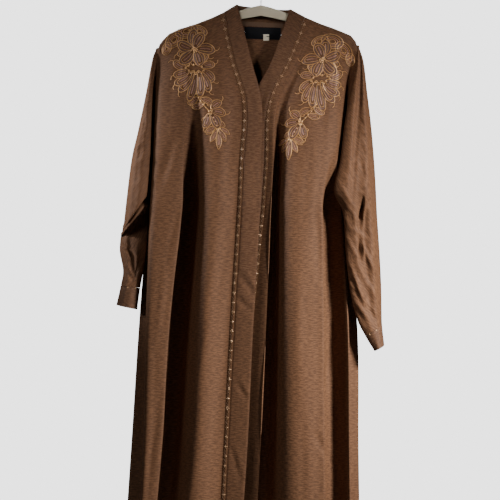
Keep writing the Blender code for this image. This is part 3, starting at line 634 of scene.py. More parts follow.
front_under = press_creases(front_under, front_under_out, FRONT_UNDER_CREASES)
back = press_creases(back, back_out, BACK_CREASES)

for name, points, out, flat, area in (
    ("front_over", front_over, front_over_out, (0.38, 1.42), 0.457),
    ("front_under", front_under, front_under_out, (0.51, 1.42), 0.549),
    ("back", back, back_out, (0.74, 1.41), 0.823),
):
    points = turn_edges(points, out, True, True)
    if name == "back":
        points, out = with_allowances(points, out)
    panel = sew_sheet("cloth_" + name, points, out, CLOTH, brown_crepe)
    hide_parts(name)


# The front bands
#
# Straight bands of the same crepe, folded double, down both front edges from neck to hem; their crepe
# is coloured a little darker, as painted shade. The viewer's left one laps over the other. Their outer
# edges are sewn to the fronts.

BAND_CLOTH = 1.3
BAND_OVER_CREASES = rows_of(
    Crease,
    (-30, -720, 90, 6, 40, 2.2),
    (-38, -762, 70, 5, 52, 1.8),
    (-44, -956, 60, 5, 38, 1.8),
    (-12, -470, 120, 6, 8, 1.2),
    (-58, -1120, 110, 6, 20, 1.5),
    (-70, -1330, 120, 6, 16, 1.5),
)
BAND_UNDER_CREASES = rows_of(
    Crease,
    (36, -190, 90, 6, -24, 1.6),
    (4, -300, 110, 6, -12, 1.4),
)

band_edges = {}
for name, lines, seam_line, creases, wide, area in (
    ("band_over", BAND_OVER_LINES, FRONT_OVER_LINES[1], BAND_OVER_CREASES, 0.046, 0.059),
    ("band_under", BAND_UNDER_LINES, FRONT_UNDER_LINES[1], BAND_UNDER_CREASES, 0.039, 0.051),
):
    free = mirrored_line(*lines[:2])
    sewn = line_levels(seam_line)
    points, out = fold_panel(lines, (free, free), (sewn, sewn), top_of_front, -1, (0.0, SEAM / 2))
    points = press_creases(points, out, creases)
    band_edges[name] = (points, out)
    rounded = turn_edges(points, out, True, True, 1.0, 2.2)
    band = sew_sheet("cloth_" + name, rounded, out, BAND_CLOTH, shaded_band_crepe)
    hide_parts(name)


# The back neck band
#
# A narrow shaped band of the crepe that carries the two front bands round the back of the neck. It is
# sewn to the back's neck edge and stands up from it.

FREE_DROP = 3.0
FREE_DEPTH = 13.0
COLLAR_ROWS = 12

neck_places = np.array(column_places(BACK_LINES))
back_names = [line.name for line in BACK_LINES]
neck_start = back_names.index("neck_left")
neck_end = back_names.index("neck_right")
round_neck = (neck_places >= neck_start) & (neck_places <= neck_end)
neck_seam = back[0, round_neck] + [0.0, 0.0, SEAM]
across = (neck_seam[:, 0] - NECK_LEFT) / (NECK_RIGHT - NECK_LEFT)
dip = np.clip(1 - np.abs(2 * across - 1) ** 5, 0, 1)
straight = shoulder_height(FREE_LEFT) * (1 - across) + shoulder_height(FREE_RIGHT) * across
free_edge = np.stack(
    [
        FREE_LEFT + (FREE_RIGHT - FREE_LEFT) * across,
        SEAM / 2 + FREE_DEPTH * dip**0.2,
        straight - FREE_DROP * dip**0.6,
    ],
    axis=1,
)
collar_rows = np.linspace(0, 1, COLLAR_ROWS + 1)
neck_band = np.array([free_edge + (neck_seam - free_edge) * share for share in collar_rows])
across_way = np.gradient(neck_band, axis=1)
across_way[:, 0] = across_way[:, 1] * [0, 1, 0] + [0, 1, 0]
across_way[:, -1] = across_way[:, -2] * [0, 1, 0] - [0, 1, 0]
neck_band_out = unit(np.cross(across_way, np.gradient(neck_band, axis=0)))
neck_band_out = neck_band_out * np.sign(neck_band_out[COLLAR_ROWS // 2, neck_band.shape[1] // 2, 1])
# The neck band takes the bands' darker crepe, painted shade as on the front bands.
neck_collar = sew_sheet("cloth_band_back", neck_band, neck_band_out, BAND_CLOTH, shaded_band_crepe)
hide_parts("band_back")


# The sleeves and cuffs
#
# Wide batwing sleeves of the crepe with its threads on the diagonal, each with one seam under the arm.
# The left one has dropped into a double fold at the elbow. Straight dark cuffs are seamed to them.

TIP_EASE = 0.2
CUFF_SEAM = 0.6
CUFF_CLOTH = 1.8
EDGE_TURN = 0.38
EDGE_FOLLOWS = 0.6
INNER_FRONT_DEPTH = 0.78
INNER_BACK_DEPTH = 0.72
BACK_EASE = 5.0
CAP_INWARD = 5.0
CAP_UP = 0.5
SLEEVE_ROWS = 17
SLEEVE_COLUMNS = 12

# One row for each section of a sleeve, from the shoulder tip to the cuff's edge: where its front face
# ends outside and inside, the underarm seam's place across, its depths, and the front's long groove
SleeveSection = namedtuple(
    "SleeveSection", "name outer_x outer_z inner_x inner_z seam_x front back groove"
)
SLEEVE_LEFT_SECTIONS = rows_of(
    SleeveSection,
    ("tip", -235, -183, -233, -185, None, 3, 3, 0),
    ("cap", -246, -208, -243, -226, None, 16, 16, 0),
    ("upper", -262, -292, -246, -298, None, 29, 29, 0),
    ("arm", -279, -372, -248, -372, None, 40, 40, 1),
    ("lower_arm", -295, -446, -250, -436, None, 50, 48, 2),
    ("fold_edge", -312, -590, -256, -514, None, 60, 52, 1),
    ("fold_tuck", -313, -586, -259, -519, -255, 42, 53, 0),
    ("second_edge", -317, -610, -256, -536, -255, 50, 54, 0),
    ("second_tuck", -318, -605, -254, -550, -256, 16, 54, 0),
    ("elbow", -321, -642, -257, -628, -264, 26, 50, 2),
    ("forearm", -313, -688, -264, -684, -271, 38, 46, 3),
    ("cuff_seam", -318, -722, -272, -727, -276, 42, 44, 0),
    ("cuff_edge", -328, -766, -279, -776, -280, 43, 45, 0),
)
SLEEVE_RIGHT_SECTIONS = rows_of(
    SleeveSection,
    ("tip", 221, -177, 218, -178, None, 3, 3, 0),
    ("cap", 233, -215, 214, -226, None, 20, 16, 5),
    ("upper", 241, -282, 202, -286, None, 33, 29, 8),
    ("arm", 250, -358, 188, -358, None, 45, 40, 9),
    ("lower_arm", 257, -440, 177, -440, None, 54, 48, 9),
    ("bulge", 261, -508, 163, -508, None, 62, 52, 10),
    ("under_bulge", 264, -566, 184, -560, 199, 52, 53, 10),
    ("elbow", 269, -640, 190, -650, 213, 50, 52, 8),
    ("forearm", 273, -720, 200, -735, 222, 48, 50, 6),
    ("wrist", 274, -778, 216, -798, 231, 46, 48, 4),
    ("cuff_seam", 275, -811, 235, -836, 243, 44, 47, 0),
    ("cuff_edge", 280, -857, 256, -870, 258, 44, 47, 0),
)

# The outside of a section, from its front round to its back: how far across it each point lies, and
# how much of the section's front depth, back depth and groove it takes
AroundPoint = namedtuple("AroundPoint", "share front back groove")
AROUND = rows_of(
    AroundPoint,
    (0.30, 1.0, 0.0, 0),
    (0.55, 1.0, 0.0, 1),
    (0.80, 0.8, 0.0, 0),
    (1.0, 0.5, 0.5, 0),
    (0.86, 0.0, 0.72, 0),
    (0.55, 0.0, 1.0, 0),
)

# One row for each large fold of a sleeve: its middle, counted in points round and sections down, how
# far it reaches along and across, its lean and its depth
SleeveFold = namedtuple("SleeveFold", "around down along across lean depth")
SLEEVE_RIGHT_FOLDS = rows_of(
    SleeveFold,
    (4.4, 6.4, 1.0, 0.30, 0.9, 1.0),
    (4.1, 7.6, 1.2, 0.32, 0.8, 1.3),
    (3.9, 8.6, 1.1, 0.30, 0.8, 1.5),
)
SLEEVE_LEFT_FOLDS = rows_of(
    SleeveFold,
    (4.2, 9.3, 1.0, 0.32, -0.5, 3.5),
    (3.2, 10.2, 0.9, 0.30, 0.9, 4.0),
)
SLEEVE_RIGHT_CREASES = rows_of(
    Crease,
    (214, -382, 470, 7, -3.3, 3.0),
    (215, -390, 420, 3.4, -3.3, 1.8),
    (229, -357, 40, 4, 35, 1.4),
    (233, -389, 36, 4, 32, 1.5),
    (233, -423, 34, 4, 30, 1.4),
    (230, -464, 44, 4, 24, 1.3),
    (226, -560, 94, 3.2, -3, 9.5),
    (224, -641, 76, 3.2, 5, 8.5),
    (222, -511, 36, 3.6, 58, -1.0),
    (234, -540, 44, 3.6, -38, 0.9),
    (222, -604, 50, 3.6, 60, -2.6),
    (220, -614, 46, 3.8, 60, 1.3),
    (243, -660, 130, 3.8, 29, -2.3),
    (236, -671, 118, 4.2, 29, 1.3),
    (217, -718, 136, 3.8, 22, -2.1),
    (210, -724, 124, 4.2, 22, 1.4),
    (248, -726, 132, 3.8, 30, -2.1),
    (240, -737, 122, 4.2, 30, 1.3),
    (259, -690, 90, 3.8, 31, -1.0),
    (229, -778, 80, 3.8, 39, -1.9),
    (222, -788, 74, 4.2, 39, 1.3),
    (252, -786, 74, 4.0, 40, 1.0),
    (192, -478, 52, 4.2, 60, -1.1),
    (205, -468, 64, 4.0, 35, -1.3),
    (216, -446, 58, 4.0, 32, -1.1),
    (186, -506, 72, 4.2, 38, -1.4),
    (198, -530, 84, 4.0, 38, -1.3),
    (184, -540, 60, 4.2, 36, 1.1),
    (207, -560, 70, 4.0, 37, -1.4),
    (198, -585, 66, 4.2, 35, -1.2),
    (204, -634, 84, 4.0, 31, -2.0),
    (242, -480, 66, 4.0, 30, -1.4),
    (246, -522, 70, 4.0, 32, -1.5),
    (250, -566, 62, 4.2, 29, -1.3),
    (252, -612, 78, 4.0, 31, -1.5),
    (262, -648, 66, 4.2, 30, -1.2),
    (229, -698, 86, 3.8, 27, -2.0),
    (233, -752, 72, 3.8, 35, -1.8),
    (264, -772, 58, 4.2, 34, -1.2),
    (197, -684, 22, 3.4, 78, 1.8),
    (202, -708, 20, 3.4, 78, 2.0),
    (207, -732, 20, 3.4, 78, 1.7),
    (206, -430, 76, 4.2, -42, 0.7),
)
SLEEVE_LEFT_CREASES = rows_of(
    Crease,
    (-268, -330, 110, 5, 14, 1.6),
    (-282, -440, 120, 4, -34, 1.5),
    (-268, -470, 90, 4, -36, 1.6),
    (-296, -500, 90, 4, -30, 1.5),
    (-260, -376, 64, 4.2, -35, -1.1),
    (-268, -402, 80, 4.2, -37, -1.2),
    (-284, -414, 70, 4.4, -36, -1.2),
    (-262, -436, 66, 4.2, -38, -1.3),
    (-292, -462, 80, 4.2, -35, -1.3),
    (-276, -492, 84, 4.2, -38, -1.2),
    (-300, -528, 58, 4.4, -36, -1.1),
    (-284, -526, 70, 4.2, -38, -1.1),
    (-310, -634, 44, 3.6, 62, 3.4),
    (-302, -652, 60, 4, 40, -2.4),
    (-300, -694, 50, 4, 40, 3.2),
    (-288, -672, 70, 5, 12, 3.0),
)
BACK_OF_SLEEVE_CREASES = rows_of(
    Crease,
    (-262, -360, 130, 7, 12, 2.6),
    (-284, -470, 110, 6, -28, 2.8),
    (-288, -560, 90, 6, -52, 3.2),
    (-296, -640, 80, 5, 44, 2.8),
    (226, -350, 140, 7, -10, 2.6),
    (236, -470, 110, 6, 30, 3.0),
    (226, -560, 100, 6, 46, 3.0),
    (244, -650, 100, 5, 34, 2.8),
    (238, -740, 90, 5, 36, 2.8),
)


def across_section(section, share, y):
    """A point of a section: share is how far across it lies, from the inner to the outer side."""
    x = section.inner_x + (section.outer_x - section.inner_x) * share
    z = section.inner_z + (section.outer_z - section.inner_z) * share
    return np.array([x, y, z])


def edge_point(edge, z):
    """The place on a seam edge at a height."""
    edge = edge[np.argsort(edge[:, 2])]
    return np.array([*read_at(z, edge[:, 2], edge[:, :2]), z])


def section_ring(section, edges, way):
    """A section's points, from the sleeve's front seam edge round the outside to its back one."""
    front = -section.front
    back = section.back
    if section.seam_x is None:
        first, last = [edge_point(edge, section.inner_z) + [way * SEAM, 0, 0] for edge in edges]
    else:
        first = np.array([section.seam_x, -SEAM / 2, section.inner_z])
        last = np.array([section.seam_x, SEAM / 2, section.inner_z])
    inner_front = across_section(section, 0.02, front * INNER_FRONT_DEPTH)
    clear_of_back = max(abs(section.inner_x), abs(last[0])) + BACK_EASE
    inner_back = np.array([clear_of_back * way, back * INNER_BACK_DEPTH, section.inner_z])
    beside_first = first * (1 - EDGE_TURN) + inner_front * EDGE_TURN + [way * 1.5, 0, 0]
    beside_last = last * (1 - EDGE_TURN) + inner_back * EDGE_TURN + [way * 2.0, 0, 0]
    outside = [
        across_section(section, share, front * forward + back * backward + section.groove * groove)
        for share, forward, backward, groove in AROUND
    ]
    return [first, beside_first, inner_front, *outside, inner_back, beside_last, last]


def facing_out(across_way, points, way):
    """Directions out of a sleeve's cloth, told by its outer side above the elbow."""
    out = unit(np.cross(across_way, np.gradient(points, axis=0)))
    upper_row = int(2.5 * SLEEVE_ROWS)
    return out * np.sign(out[upper_row, points.shape[1] // 2, 0] * way)


def sleeve_cloth(sections, edges, way, folds):
    """A sleeve and its cuff in rows of points from the shoulder down, and its outward directions."""
    rings = np.array([section_ring(section, edges, way) for section in sections], float)
    last_key = rings.shape[1] - 1
    rows = np.linspace(0, len(sections) - 1, (len(sections) - 1) * SLEEVE_ROWS + 1)
    down = smooth(np.arange(len(sections)), rings, rows)
    for row in range(len(rows)):
        for column, beside, edge in ((0, 1, edges[0]), (last_key, last_key - 1, edges[1])):
            z = down[row, column, 2]
            if z > UNDERARM:
                extra = TIP_EASE * ease(1 - rows[row] / 3)
                move = edge_point(edge, z) + [way * (SEAM + extra), 0, 0] - down[row, column]
                down[row, column] += move
                down[row, beside] += move * EDGE_FOLLOWS
    closed = below_underarm(down[:, 0, 2])[:, None]
    before = (2 * down[:, 0] - down[:, 1]) * (1 - closed) + down[:, -2] * closed
    after = (2 * down[:, -1] - down[:, -2]) * (1 - closed) + down[:, 1] * closed
    ring = np.concatenate([before[:, None], down, after[:, None]], axis=1).swapaxes(0, 1)
    places = np.linspace(0, last_key, last_key * SLEEVE_COLUMNS + 1)
    points = smooth(np.arange(-1, last_key + 2), ring, places).swapaxes(0, 1)
    across_way = np.gradient(points, axis=1)
    out = facing_out(across_way, points, way)
    around, deep = np.meshgrid(places, rows)
    for fold in folds:
        a = around - fold.around
        d = deep - fold.down
        along = (a * fold.lean + d) / math.hypot(fold.lean, 1) / fold.along
        across = (a - d * fold.lean) / math.hypot(fold.lean, 1) / fold.across
        points = points - out * (fold.depth * np.exp(-(along**2) - across**2))[..., None]
    for last in (False, True):
        edge = -1 if last else 0
        direction = unit(across_way[:, edge]) * (-1 if last else 1)
        offset = seam_ease(points[:, edge, 2]) - SEAM / 2
        weight = np.clip(1 - from_edge(points, last) / SEAM_REACH, 0, 1) ** 2
        points = points + direction[:, None] * (offset[:, None] * weight)[..., None]
    return points, facing_out(np.gradient(points, axis=1), points, way)


sleeve_crepe = crepe("sleeve_crepe", BROWN_DARK, BROWN_LIGHT, 45.0)
cuff_crepe = crepe("cuff_crepe", (0.062, 0.027, 0.013), (0.125, 0.058, 0.028), 0.0)
cuffs = {}
for side, sections, edges, way, folds, creases, flat, area, cuff_flat, cuff_area in (
    (
        "left",
        SLEEVE_LEFT_SECTIONS,
        (front_over[:, -1], back[:, 0]),
        -1,
        SLEEVE_LEFT_FOLDS,
        SLEEVE_LEFT_CREASES,
        (0.36, 0.626),
        0.1165,
        (0.229, 0.049),
        0.0105,
    ),
    (
        "right",
        SLEEVE_RIGHT_SECTIONS,
        (front_under[:, -1], back[:, -1]),
        1,
        SLEEVE_RIGHT_FOLDS,
        SLEEVE_RIGHT_CREASES,
        (0.346, 0.683),
        0.168,
        (0.227, 0.046),
        0.0088,
    ),
):
    points, out = sleeve_cloth(sections, edges, way, folds)
    points = press_creases(points, out, creases, -1)
    points = press_creases(points, out, [c for c in BACK_OF_SLEEVE_CREASES if c.x * way > 0], 1)
    seam_row = (len(sections) - 2) * SLEEVE_ROWS
    step = unit(points[seam_row + 1] - points[seam_row])
    sleeve = points[: seam_row + 1].copy()
    sleeve[-1] -= step * CUFF_SEAM / 2
    cuff = points[seam_row:].copy()
    cuff[0] += step * CUFF_SEAM / 2
    sleeve = turn_edges(sleeve, out[: seam_row + 1], True, True)
    sleeve, sleeve_out = with_allowances(sleeve, out[: seam_row + 1])
    # The cap's allowance runs inward under the shoulder
    cap = sleeve[0] * [1.0, 0.5, 1.0] + [-CAP_INWARD * way, 0.0, CAP_UP]
    sleeve = np.concatenate([cap[None], sleeve])
    sleeve_out = np.concatenate([sleeve_out[:1], sleeve_out])
    cloth = sew_sheet("cloth_sleeve_" + side, sleeve, sleeve_out, CLOTH, sleeve_crepe)
    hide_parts("sleeve_" + side)
    cloth = sew_sheet("cloth_cuff_" + side, cuff, out[seam_row:], CUFF_CLOTH, cuff_crepe)
    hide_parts("cuff_" + side)
    cuffs[side] = (cuff, out[seam_row:])


# Inside the neck
#
# A light woven tape covers the seam at the back of the neck. Below it are a black woven label and a
# small cream size tab, both bare, held by a few stitches.

# One row for each piece: its left and right ends, the height of its top at each, how tall and how
# thick it is, and how far its face stands off the cloth behind it
InsidePiece = namedtuple("InsidePiece", "name left right left_top right_top tall thick off")
INSIDE_PIECES = rows_of(
    InsidePiece,
    ("neck_tape", -50.0, 50.0, -121.0, -127.0, 10.0, 0.6, 1.0),
    ("label", -37.0, 45.0, -134.0, -137.0, 27.0, 0.6, 1.1),
    ("size_tab", 5.5, 18.5, -151.5, -151.5, 14.0, 0.4, 2.2),
)
INSIDE_COLUMNS = 24
INSIDE_ROWS = 8
FELT_FROM = -0.004
FELT_BESIDE = (-2.0, 0.0, 2.0)


def nearest_cloth(pieces):
    """Search trees of finished pieces, to lay other pieces on them."""
    trees = []
    for piece in pieces:
        shape = bmesh.new()
        shape.from_mesh(piece.data)
        trees.append(BVHTree.FromBMesh(shape))
        shape.free()
    return trees


def ribbed_cloth(name, dark, light, rib, roughness):
    """A narrow woven ribbon: fine ribs across it, rib of them in a metre, and a slightly uneven dye."""
    made, tree, shader = new_material(name, Roughness=roughness, Specular_IOR_Level=0.15)
    where = add_node(tree, "ShaderNodeTexCoord", "place")
    ribs = add_node(tree, "ShaderNodeTexWave", "ribs", {"bands_direction": "X"}, Scale=rib, Distortion=0.6)
    fibres = streaks(tree, "fibres", where, (300.0, 300.0, 1500.0), 3.0, "Object")
    mixed = add_node(tree, "ShaderNodeMix", "ribs and fibres", Factor=0.5)
    link(tree, where, "Object", ribs, "Vector")
    link(tree, ribs, "Fac", mixed, "A")
    link(tree, fibres, "Fac", mixed, "B")
    two_colours(tree, "ribbon colour", dark, light, mixed, "Result", shader)
    relief(tree, "raised ribs", 0.5, 0.2, mixed, "Result", shader)
    return made


inside_cloths = {}
for name, slot, weave, dark, light, rib, roughness in (
    ("neck_tape", "tape", "neck_tape_twill", (0.085, 0.047, 0.028), (0.15, 0.086, 0.052), 160.0, 0.7),
    ("label", "label", "label_weave", (0.002, 0.002, 0.003), (0.007, 0.007, 0.009), 220.0, 0.75),
    ("size_tab", "size_tab", "size_tab_weave", (0.55, 0.47, 0.34), (0.72, 0.64, 0.50), 200.0, 0.6),
):
    inside_cloths[name] = (ribbed_cloth(weave, dark, light, rib, roughness), slot)
behind_neck = nearest_cloth([neck_collar, bpy.data.objects["cloth_back"]])
for piece in INSIDE_PIECES:
    columns = np.linspace(0, 1, INSIDE_COLUMNS + 1)
    rows = []
    for share in np.linspace(0, 1, INSIDE_ROWS + 1):
        row = []
        for across in columns:
            x = piece.left + (piece.right - piece.left) * across
            z = piece.left_top + (piece.right_top - piece.left_top) * across - piece.tall * share
            starts = [Vector((x * MM, FELT_FROM, (z + move) * MM)) for move in FELT_BESIDE]
            hits = [tree.ray_cast(start, Vector((0, 1, 0)))[0] for start in starts for tree in behind_neck]
            row.append([x, min(hit.y for hit in hits if hit is not None) / MM - piece.off, z])
        rows.append(row)
    points = np.array(rows)
    out = np.broadcast_to(np.array([0.0, -1.0, 0.0]), points.shape)
    stuff, slot = inside_cloths[piece.name]
    strip = sew_sheet("cloth_" + piece.name, points, out, piece.thick, stuff)
    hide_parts(piece.name)
    wide = (piece.right - piece.left) * MM


# The trims
#
# A narrow dark ribbon lies on each front beside its band seam, from the shoulder to the hem. Thin
# threads cross over it all the way down and hold it to the front.

TRIM_WIDTH = 9.0
TRIM_INSET = 0.6
TRIM_THICK = 0.5
TRIM_LIFT = 0.55
TRIM_COLUMNS = 7
MIDDLE_COLUMN = 3
TRIM_CROWN = 0.5
TRIM_START_ROW = 6
CROSSING = 7.0
CROSSING_RADIUS = 0.24
CROSSING_LIFT = 0.25

trim_ribbon = ribbed_cloth("trim_ribbon", (0.078, 0.0350, 0.0150), (0.128, 0.059, 0.026), 180.0, 0.75)


def strip_beside(points, out, first, last, columns, lift):
    """Points of a strip that lies on cloth beside its first edge, and their outward directions."""
    places = np.linspace(first, last, columns)
    laid = []
    facing = []
    for line, way in zip(points, out):
        length = run_length(line)
        facing.append([read_at(place, length, way) for place in places])
        laid.append([read_at(place, length, line) for place in places])
    facing = unit(np.array(facing))
    crown = lift - TRIM_CROWN * (2 * np.linspace(0, 1, columns) - 1) ** 4
    return np.array(laid) + facing * crown[None, :, None], facing


def select_only(piece):
    """Selects a piece and makes it the active one."""
    bpy.ops.object.select_all(action="DESELECT")
    piece.select_set(True)
    bpy.context.view_layer.objects.active = piece


def lay_threads(name, strokes, stuff, sides=1):
    """Threads laid on cloth as one mesh. Each stroke is its points in mm and its radius at each."""
    curve = bpy.data.curves.new(name, "CURVE")
    curve.dimensions = "3D"
    curve.bevel_depth = MM
    curve.bevel_resolution = sides
    curve.use_fill_caps = True
    for points, radii in strokes:
        spline = curve.splines.new("POLY")
        spline.points.add(len(points) - 1)
        places = np.concatenate([np.asarray(points) * MM, np.ones((len(points), 1))], axis=1)
        spline.points.foreach_set("co", places.reshape(-1))
        spline.points.foreach_set("radius", np.asarray(radii, float))
    piece = bpy.data.objects.new(name, curve)
    bpy.context.collection.objects.link(piece)
    select_only(piece)
    bpy.ops.object.convert(target="MESH")
    piece = bpy.context.object
    piece.data.materials.clear()
    piece.data.materials.append(stuff)
    bpy.ops.object.shade_smooth_by_angle(angle=math.radians(60))
    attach(piece, "root")
    return piece


def metal_thread(name, colour, shade, metallic, roughness):
    """Twisted thread wound with metal foil: its colour breaks up along its turns."""
    made, tree, shader = new_material(name, Metallic=metallic, Roughness=roughness)
    where = add_node(tree, "ShaderNodeTexCoord", "place")
    turns = clouds(tree, "turns of the foil", where, 520.0, 2.0)
    tarnish = clouds(tree, "worn places", where, 60.0, 2.0)
    mixed = add_node(tree, "ShaderNodeMix", "turns and wear", Factor=0.45)
    spread = add_node(tree, "ShaderNodeMapRange", "spread", From_Min=0.35, From_Max=0.62)
    link(tree, turns, "Fac", mixed, "A")
    link(tree, tarnish, "Fac", mixed, "B")
    link(tree, mixed, "Result", spread, "Value")
    two_colours(tree, "thread colour", shade, colour, spread, "Result", shader)
    relief(tree, "turns", 0.5, 0.25, turns, "Fac", shader)
    return made


crossing_thread = metal_thread("crossing_thread", (0.30, 0.17, 0.10), (0.16, 0.08, 0.045), 0.1, 0.5)
trim_lines = {}
for name, source, facing in (
    ("trim_over", front_over, front_over_out),
    ("trim_under", front_under, front_under_out),
):
    source = source[TRIM_START_ROW:]
    facing = facing[TRIM_START_ROW:]
    points, out = strip_beside(
        source, facing, TRIM_INSET, TRIM_INSET + TRIM_WIDTH, TRIM_COLUMNS, SEAM + TRIM_LIFT
    )
    ribbon = sew_sheet("cloth_" + name, points, out, TRIM_THICK, trim_ribbon)
    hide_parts(name)
    length = run_length(points[:, MIDDLE_COLUMN])
    trim_lines[name] = (points[:, MIDDLE_COLUMN], out[:, MIDDLE_COLUMN], length)
    strokes = []
    for start in (0, 1):
        steps = np.arange(0, length[-1], CROSSING)
        sides = np.where((np.arange(len(steps)) + start) % 2, 1, TRIM_COLUMNS - 2)
        zigzag = []
        for place, column in zip(steps, sides):
            away = read_at(place, length, out[:, column])
            zigzag.append(read_at(place, length, points[:, column]) + away * CROSSING_LIFT)
        strokes.append((zigzag, [CROSSING_RADIUS] * len(zigzag)))
    threads = lay_threads("crossing_threads_" + name[5:], strokes, crossing_thread, 0)


# The stones
#
# Small foiled glass stones in sets of five, an amber one and four gold ones round it like a cross, glued
# along the middle of each trim about every 22 mm. Five single gold ones sit along each cuff's seam.

FIRST_STONE = 8.0
LAST_STONE = 12.0
STONE_PITCH = 21.6
STONE_RADIUS = 1.9
STONE_TALL = 2.0
SIDE_STONE = 0.6
SIDE_STONE_AWAY = 2.8
CUFF_STONE = 2.0
CUFF_STONE_LIFT = 0.1
CUFF_STONE_DOWN = 1.5
CUFF_STONE_COLUMNS = (18, 33, 51, 93, 114)

bpy.ops.object.select_all(action="DESELECT")
bpy.ops.mesh.primitive_cone_add(vertices=8, radius1=1.0, radius2=0.58, depth=0.5, location=(0, 0, 0.25))
stone = bpy.context.object
bpy.ops.object.mode_set(mode="EDIT")
bpy.ops.mesh.select_all(action="SELECT")
bpy.ops.mesh.bevel(offset=0.07, segments=1)
bpy.ops.object.mode_set(mode="OBJECT")


def copies(name, model, places, stuff):
    """One mesh of many small copies. Each place is its foot in mm, the way it lies, the way it faces,
    and its size along, across and up in mm."""
    shape = np.empty(len(model.data.vertices) * 3)
    model.data.vertices.foreach_get("co", shape)
    shape = shape.reshape(-1, 3)
    faces = [list(face.vertices) for face in model.data.polygons]
    points = []
    polygons = []
    for foot, lies, faces_to, size in places:
        faces_to = unit(np.asarray(faces_to, float))
        beside = unit(np.cross(faces_to, lies))
        lies = np.cross(beside, faces_to)
        turned = shape * size
        turned = turned[:, :1] * lies + turned[:, 1:2] * beside + turned[:, 2:] * faces_to
        start = len(points) * len(shape)
        points.append((turned + foot) * MM)
        polygons += [[start + corner for corner in face] for face in faces]
    mesh = bpy.data.meshes.new(name)
    mesh.from_pydata(np.concatenate(points).tolist(), [], polygons)
    mesh.materials.append(stuff)
    piece = bpy.data.objects.new(name, mesh)
    bpy.context.collection.objects.link(piece)
    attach(piece, "root")
    return piece


def foiled_glass(name, colour):
    """Cut glass over silver foil, with a faint tint that changes from stone to stone."""
    made, tree, shader = new_material(name, Metallic=0.35, Roughness=0.3, Coat_Weight=0.6)
    where = add_node(tree, "ShaderNodeTexCoord", "place")
    tint = clouds(tree, "tint", where, 90.0, 0.0)
    deeper = (colour[0] * 0.75, colour[1] * 0.7, colour[2] * 0.72)
    two_colours(tree, "glass colour", deeper, colour, tint, "Fac", shader)
    return made


amber_glass = foiled_glass("amber_glass", (0.42, 0.24, 0.12))
gold_glass = foiled_glass("gold_glass", (0.60, 0.37, 0.18))
for name, (points, out, length) in trim_lines.items():
    middles = []
    sets = []
    for place in np.arange(FIRST_STONE, length[-1] - LAST_STONE, STONE_PITCH):
        foot = read_at(place, length, points)
        away = unit(read_at(place, length, out))
        down = unit(read_at(place + 4.0, length, points) - foot)
        beside = unit(np.cross(away, down))
        size = np.array([STONE_RADIUS, STONE_RADIUS, STONE_TALL])
        middles.append((foot, down, away, size))
        for way in (down, -down, beside, -beside):
            sets.append((foot + way * SIDE_STONE_AWAY, down, away, size * SIDE_STONE))
    copies("middle_stones_" + name[5:], stone, middles, amber_glass)
    copies("side_stones_" + name[5:], stone, sets, gold_glass)
for side, (points, out) in cuffs.items():
    sets = []
    for column in CUFF_STONE_COLUMNS:
        foot = points[0, column] + out[0, column] * CUFF_STONE_LIFT
        down = unit(points[3, column] - points[0, column])
        foot = foot + down * CUFF_STONE_DOWN
        sets.append((foot, down, out[0, column], np.full(3, CUFF_STONE)))
    stones = copies("cuff_stones_" + side, stone, sets, gold_glass)
bpy.data.objects.remove(stone, do_unlink=True)


# The stitching
#
# Rows of machine stitches in brown thread hold the folded edges: beside both edges of each band, round
# the cuffs and along the hem.

STITCH_PITCH = 4.0
STITCH_SIZE = np.array([1.45, 0.3, 0.24])
STITCH_LIFT = 0.05
BAND_STITCHES = (3.4, 39.0)
CUFF_STITCHES = (1, 2, -2)
HEM_ROW = -6

bpy.ops.object.select_all(action="DESELECT")
bpy.ops.mesh.primitive_uv_sphere_add(segments=6, ring_count=4, radius=1.0, rotation=(0.0, math.pi / 2, 0.0))
stitch = bpy.context.object
bpy.ops.object.transform_apply(location=False, rotation=True, scale=True)


def stitches_along(line, out):
    """Stitches laid end to end along a line of points, sunk a little into the cloth."""
    length = run_length(line)
    laid = []
    for place in np.arange(STITCH_PITCH, length[-1] - STITCH_PITCH, STITCH_PITCH):
        foot = read_at(place, length, line)
        ahead = read_at(place + 1.0, length, line)
        laid.append((foot, ahead - foot, read_at(place, length, out), STITCH_SIZE))
    return laid


sewing_thread = metal_thread("sewing_thread", (0.26, 0.14, 0.085), (0.15, 0.075, 0.043), 0.0, 0.55)
for name, (points, out) in band_edges.items():
    laid = []
    for inset in BAND_STITCHES:
        line, away = strip_beside(points[4:], out[4:], inset, inset + 0.5, 2, STITCH_LIFT)
        laid += stitches_along(line[:, 0], away[:, 0])
    copies("stitches_" + name, stitch, laid, sewing_thread)
for side, (points, out) in cuffs.items():
    laid = []
    for row in CUFF_STITCHES:
        laid += stitches_along(points[row] + out[row] * STITCH_LIFT, out[row])
    copies("stitches_cuff_" + side, stitch, laid, sewing_thread)
laid = []
for points, out in ((front_over, front_over_out), (front_under, front_under_out), (back, back_out)):
    away = out[HEM_ROW, 2:-2]
    laid += stitches_along(points[HEM_ROW, 2:-2] + away * STITCH_LIFT, away)
copies("stitches_hem", stitch, laid, sewing_thread)
bpy.data.objects.remove(stitch, do_unlink=True)


# The embroidery
#
# Flower sprays run from each shoulder down to the chest. Their outlines are gold cord sewn on over the
# crepe, with mauve cord inside them and rose satin stitches along the petals.

CORD = 0.88
INNER_CORD = 0.62
SATIN = 1.5
STROKE_STEP = 1.7
COVERED_STEP = 1.2
LARGEST_JUMP = 6.0
SPRIG_STEP = 1.9
SPRIG_CURL = 1.5

# A needle pushed in from here, in metres, meets the cloth where it faces forward, and the cord sinks in
NEEDLE_START = -0.3
FACES_FRONT = -0.2
CORD_SHOWS = 0.55

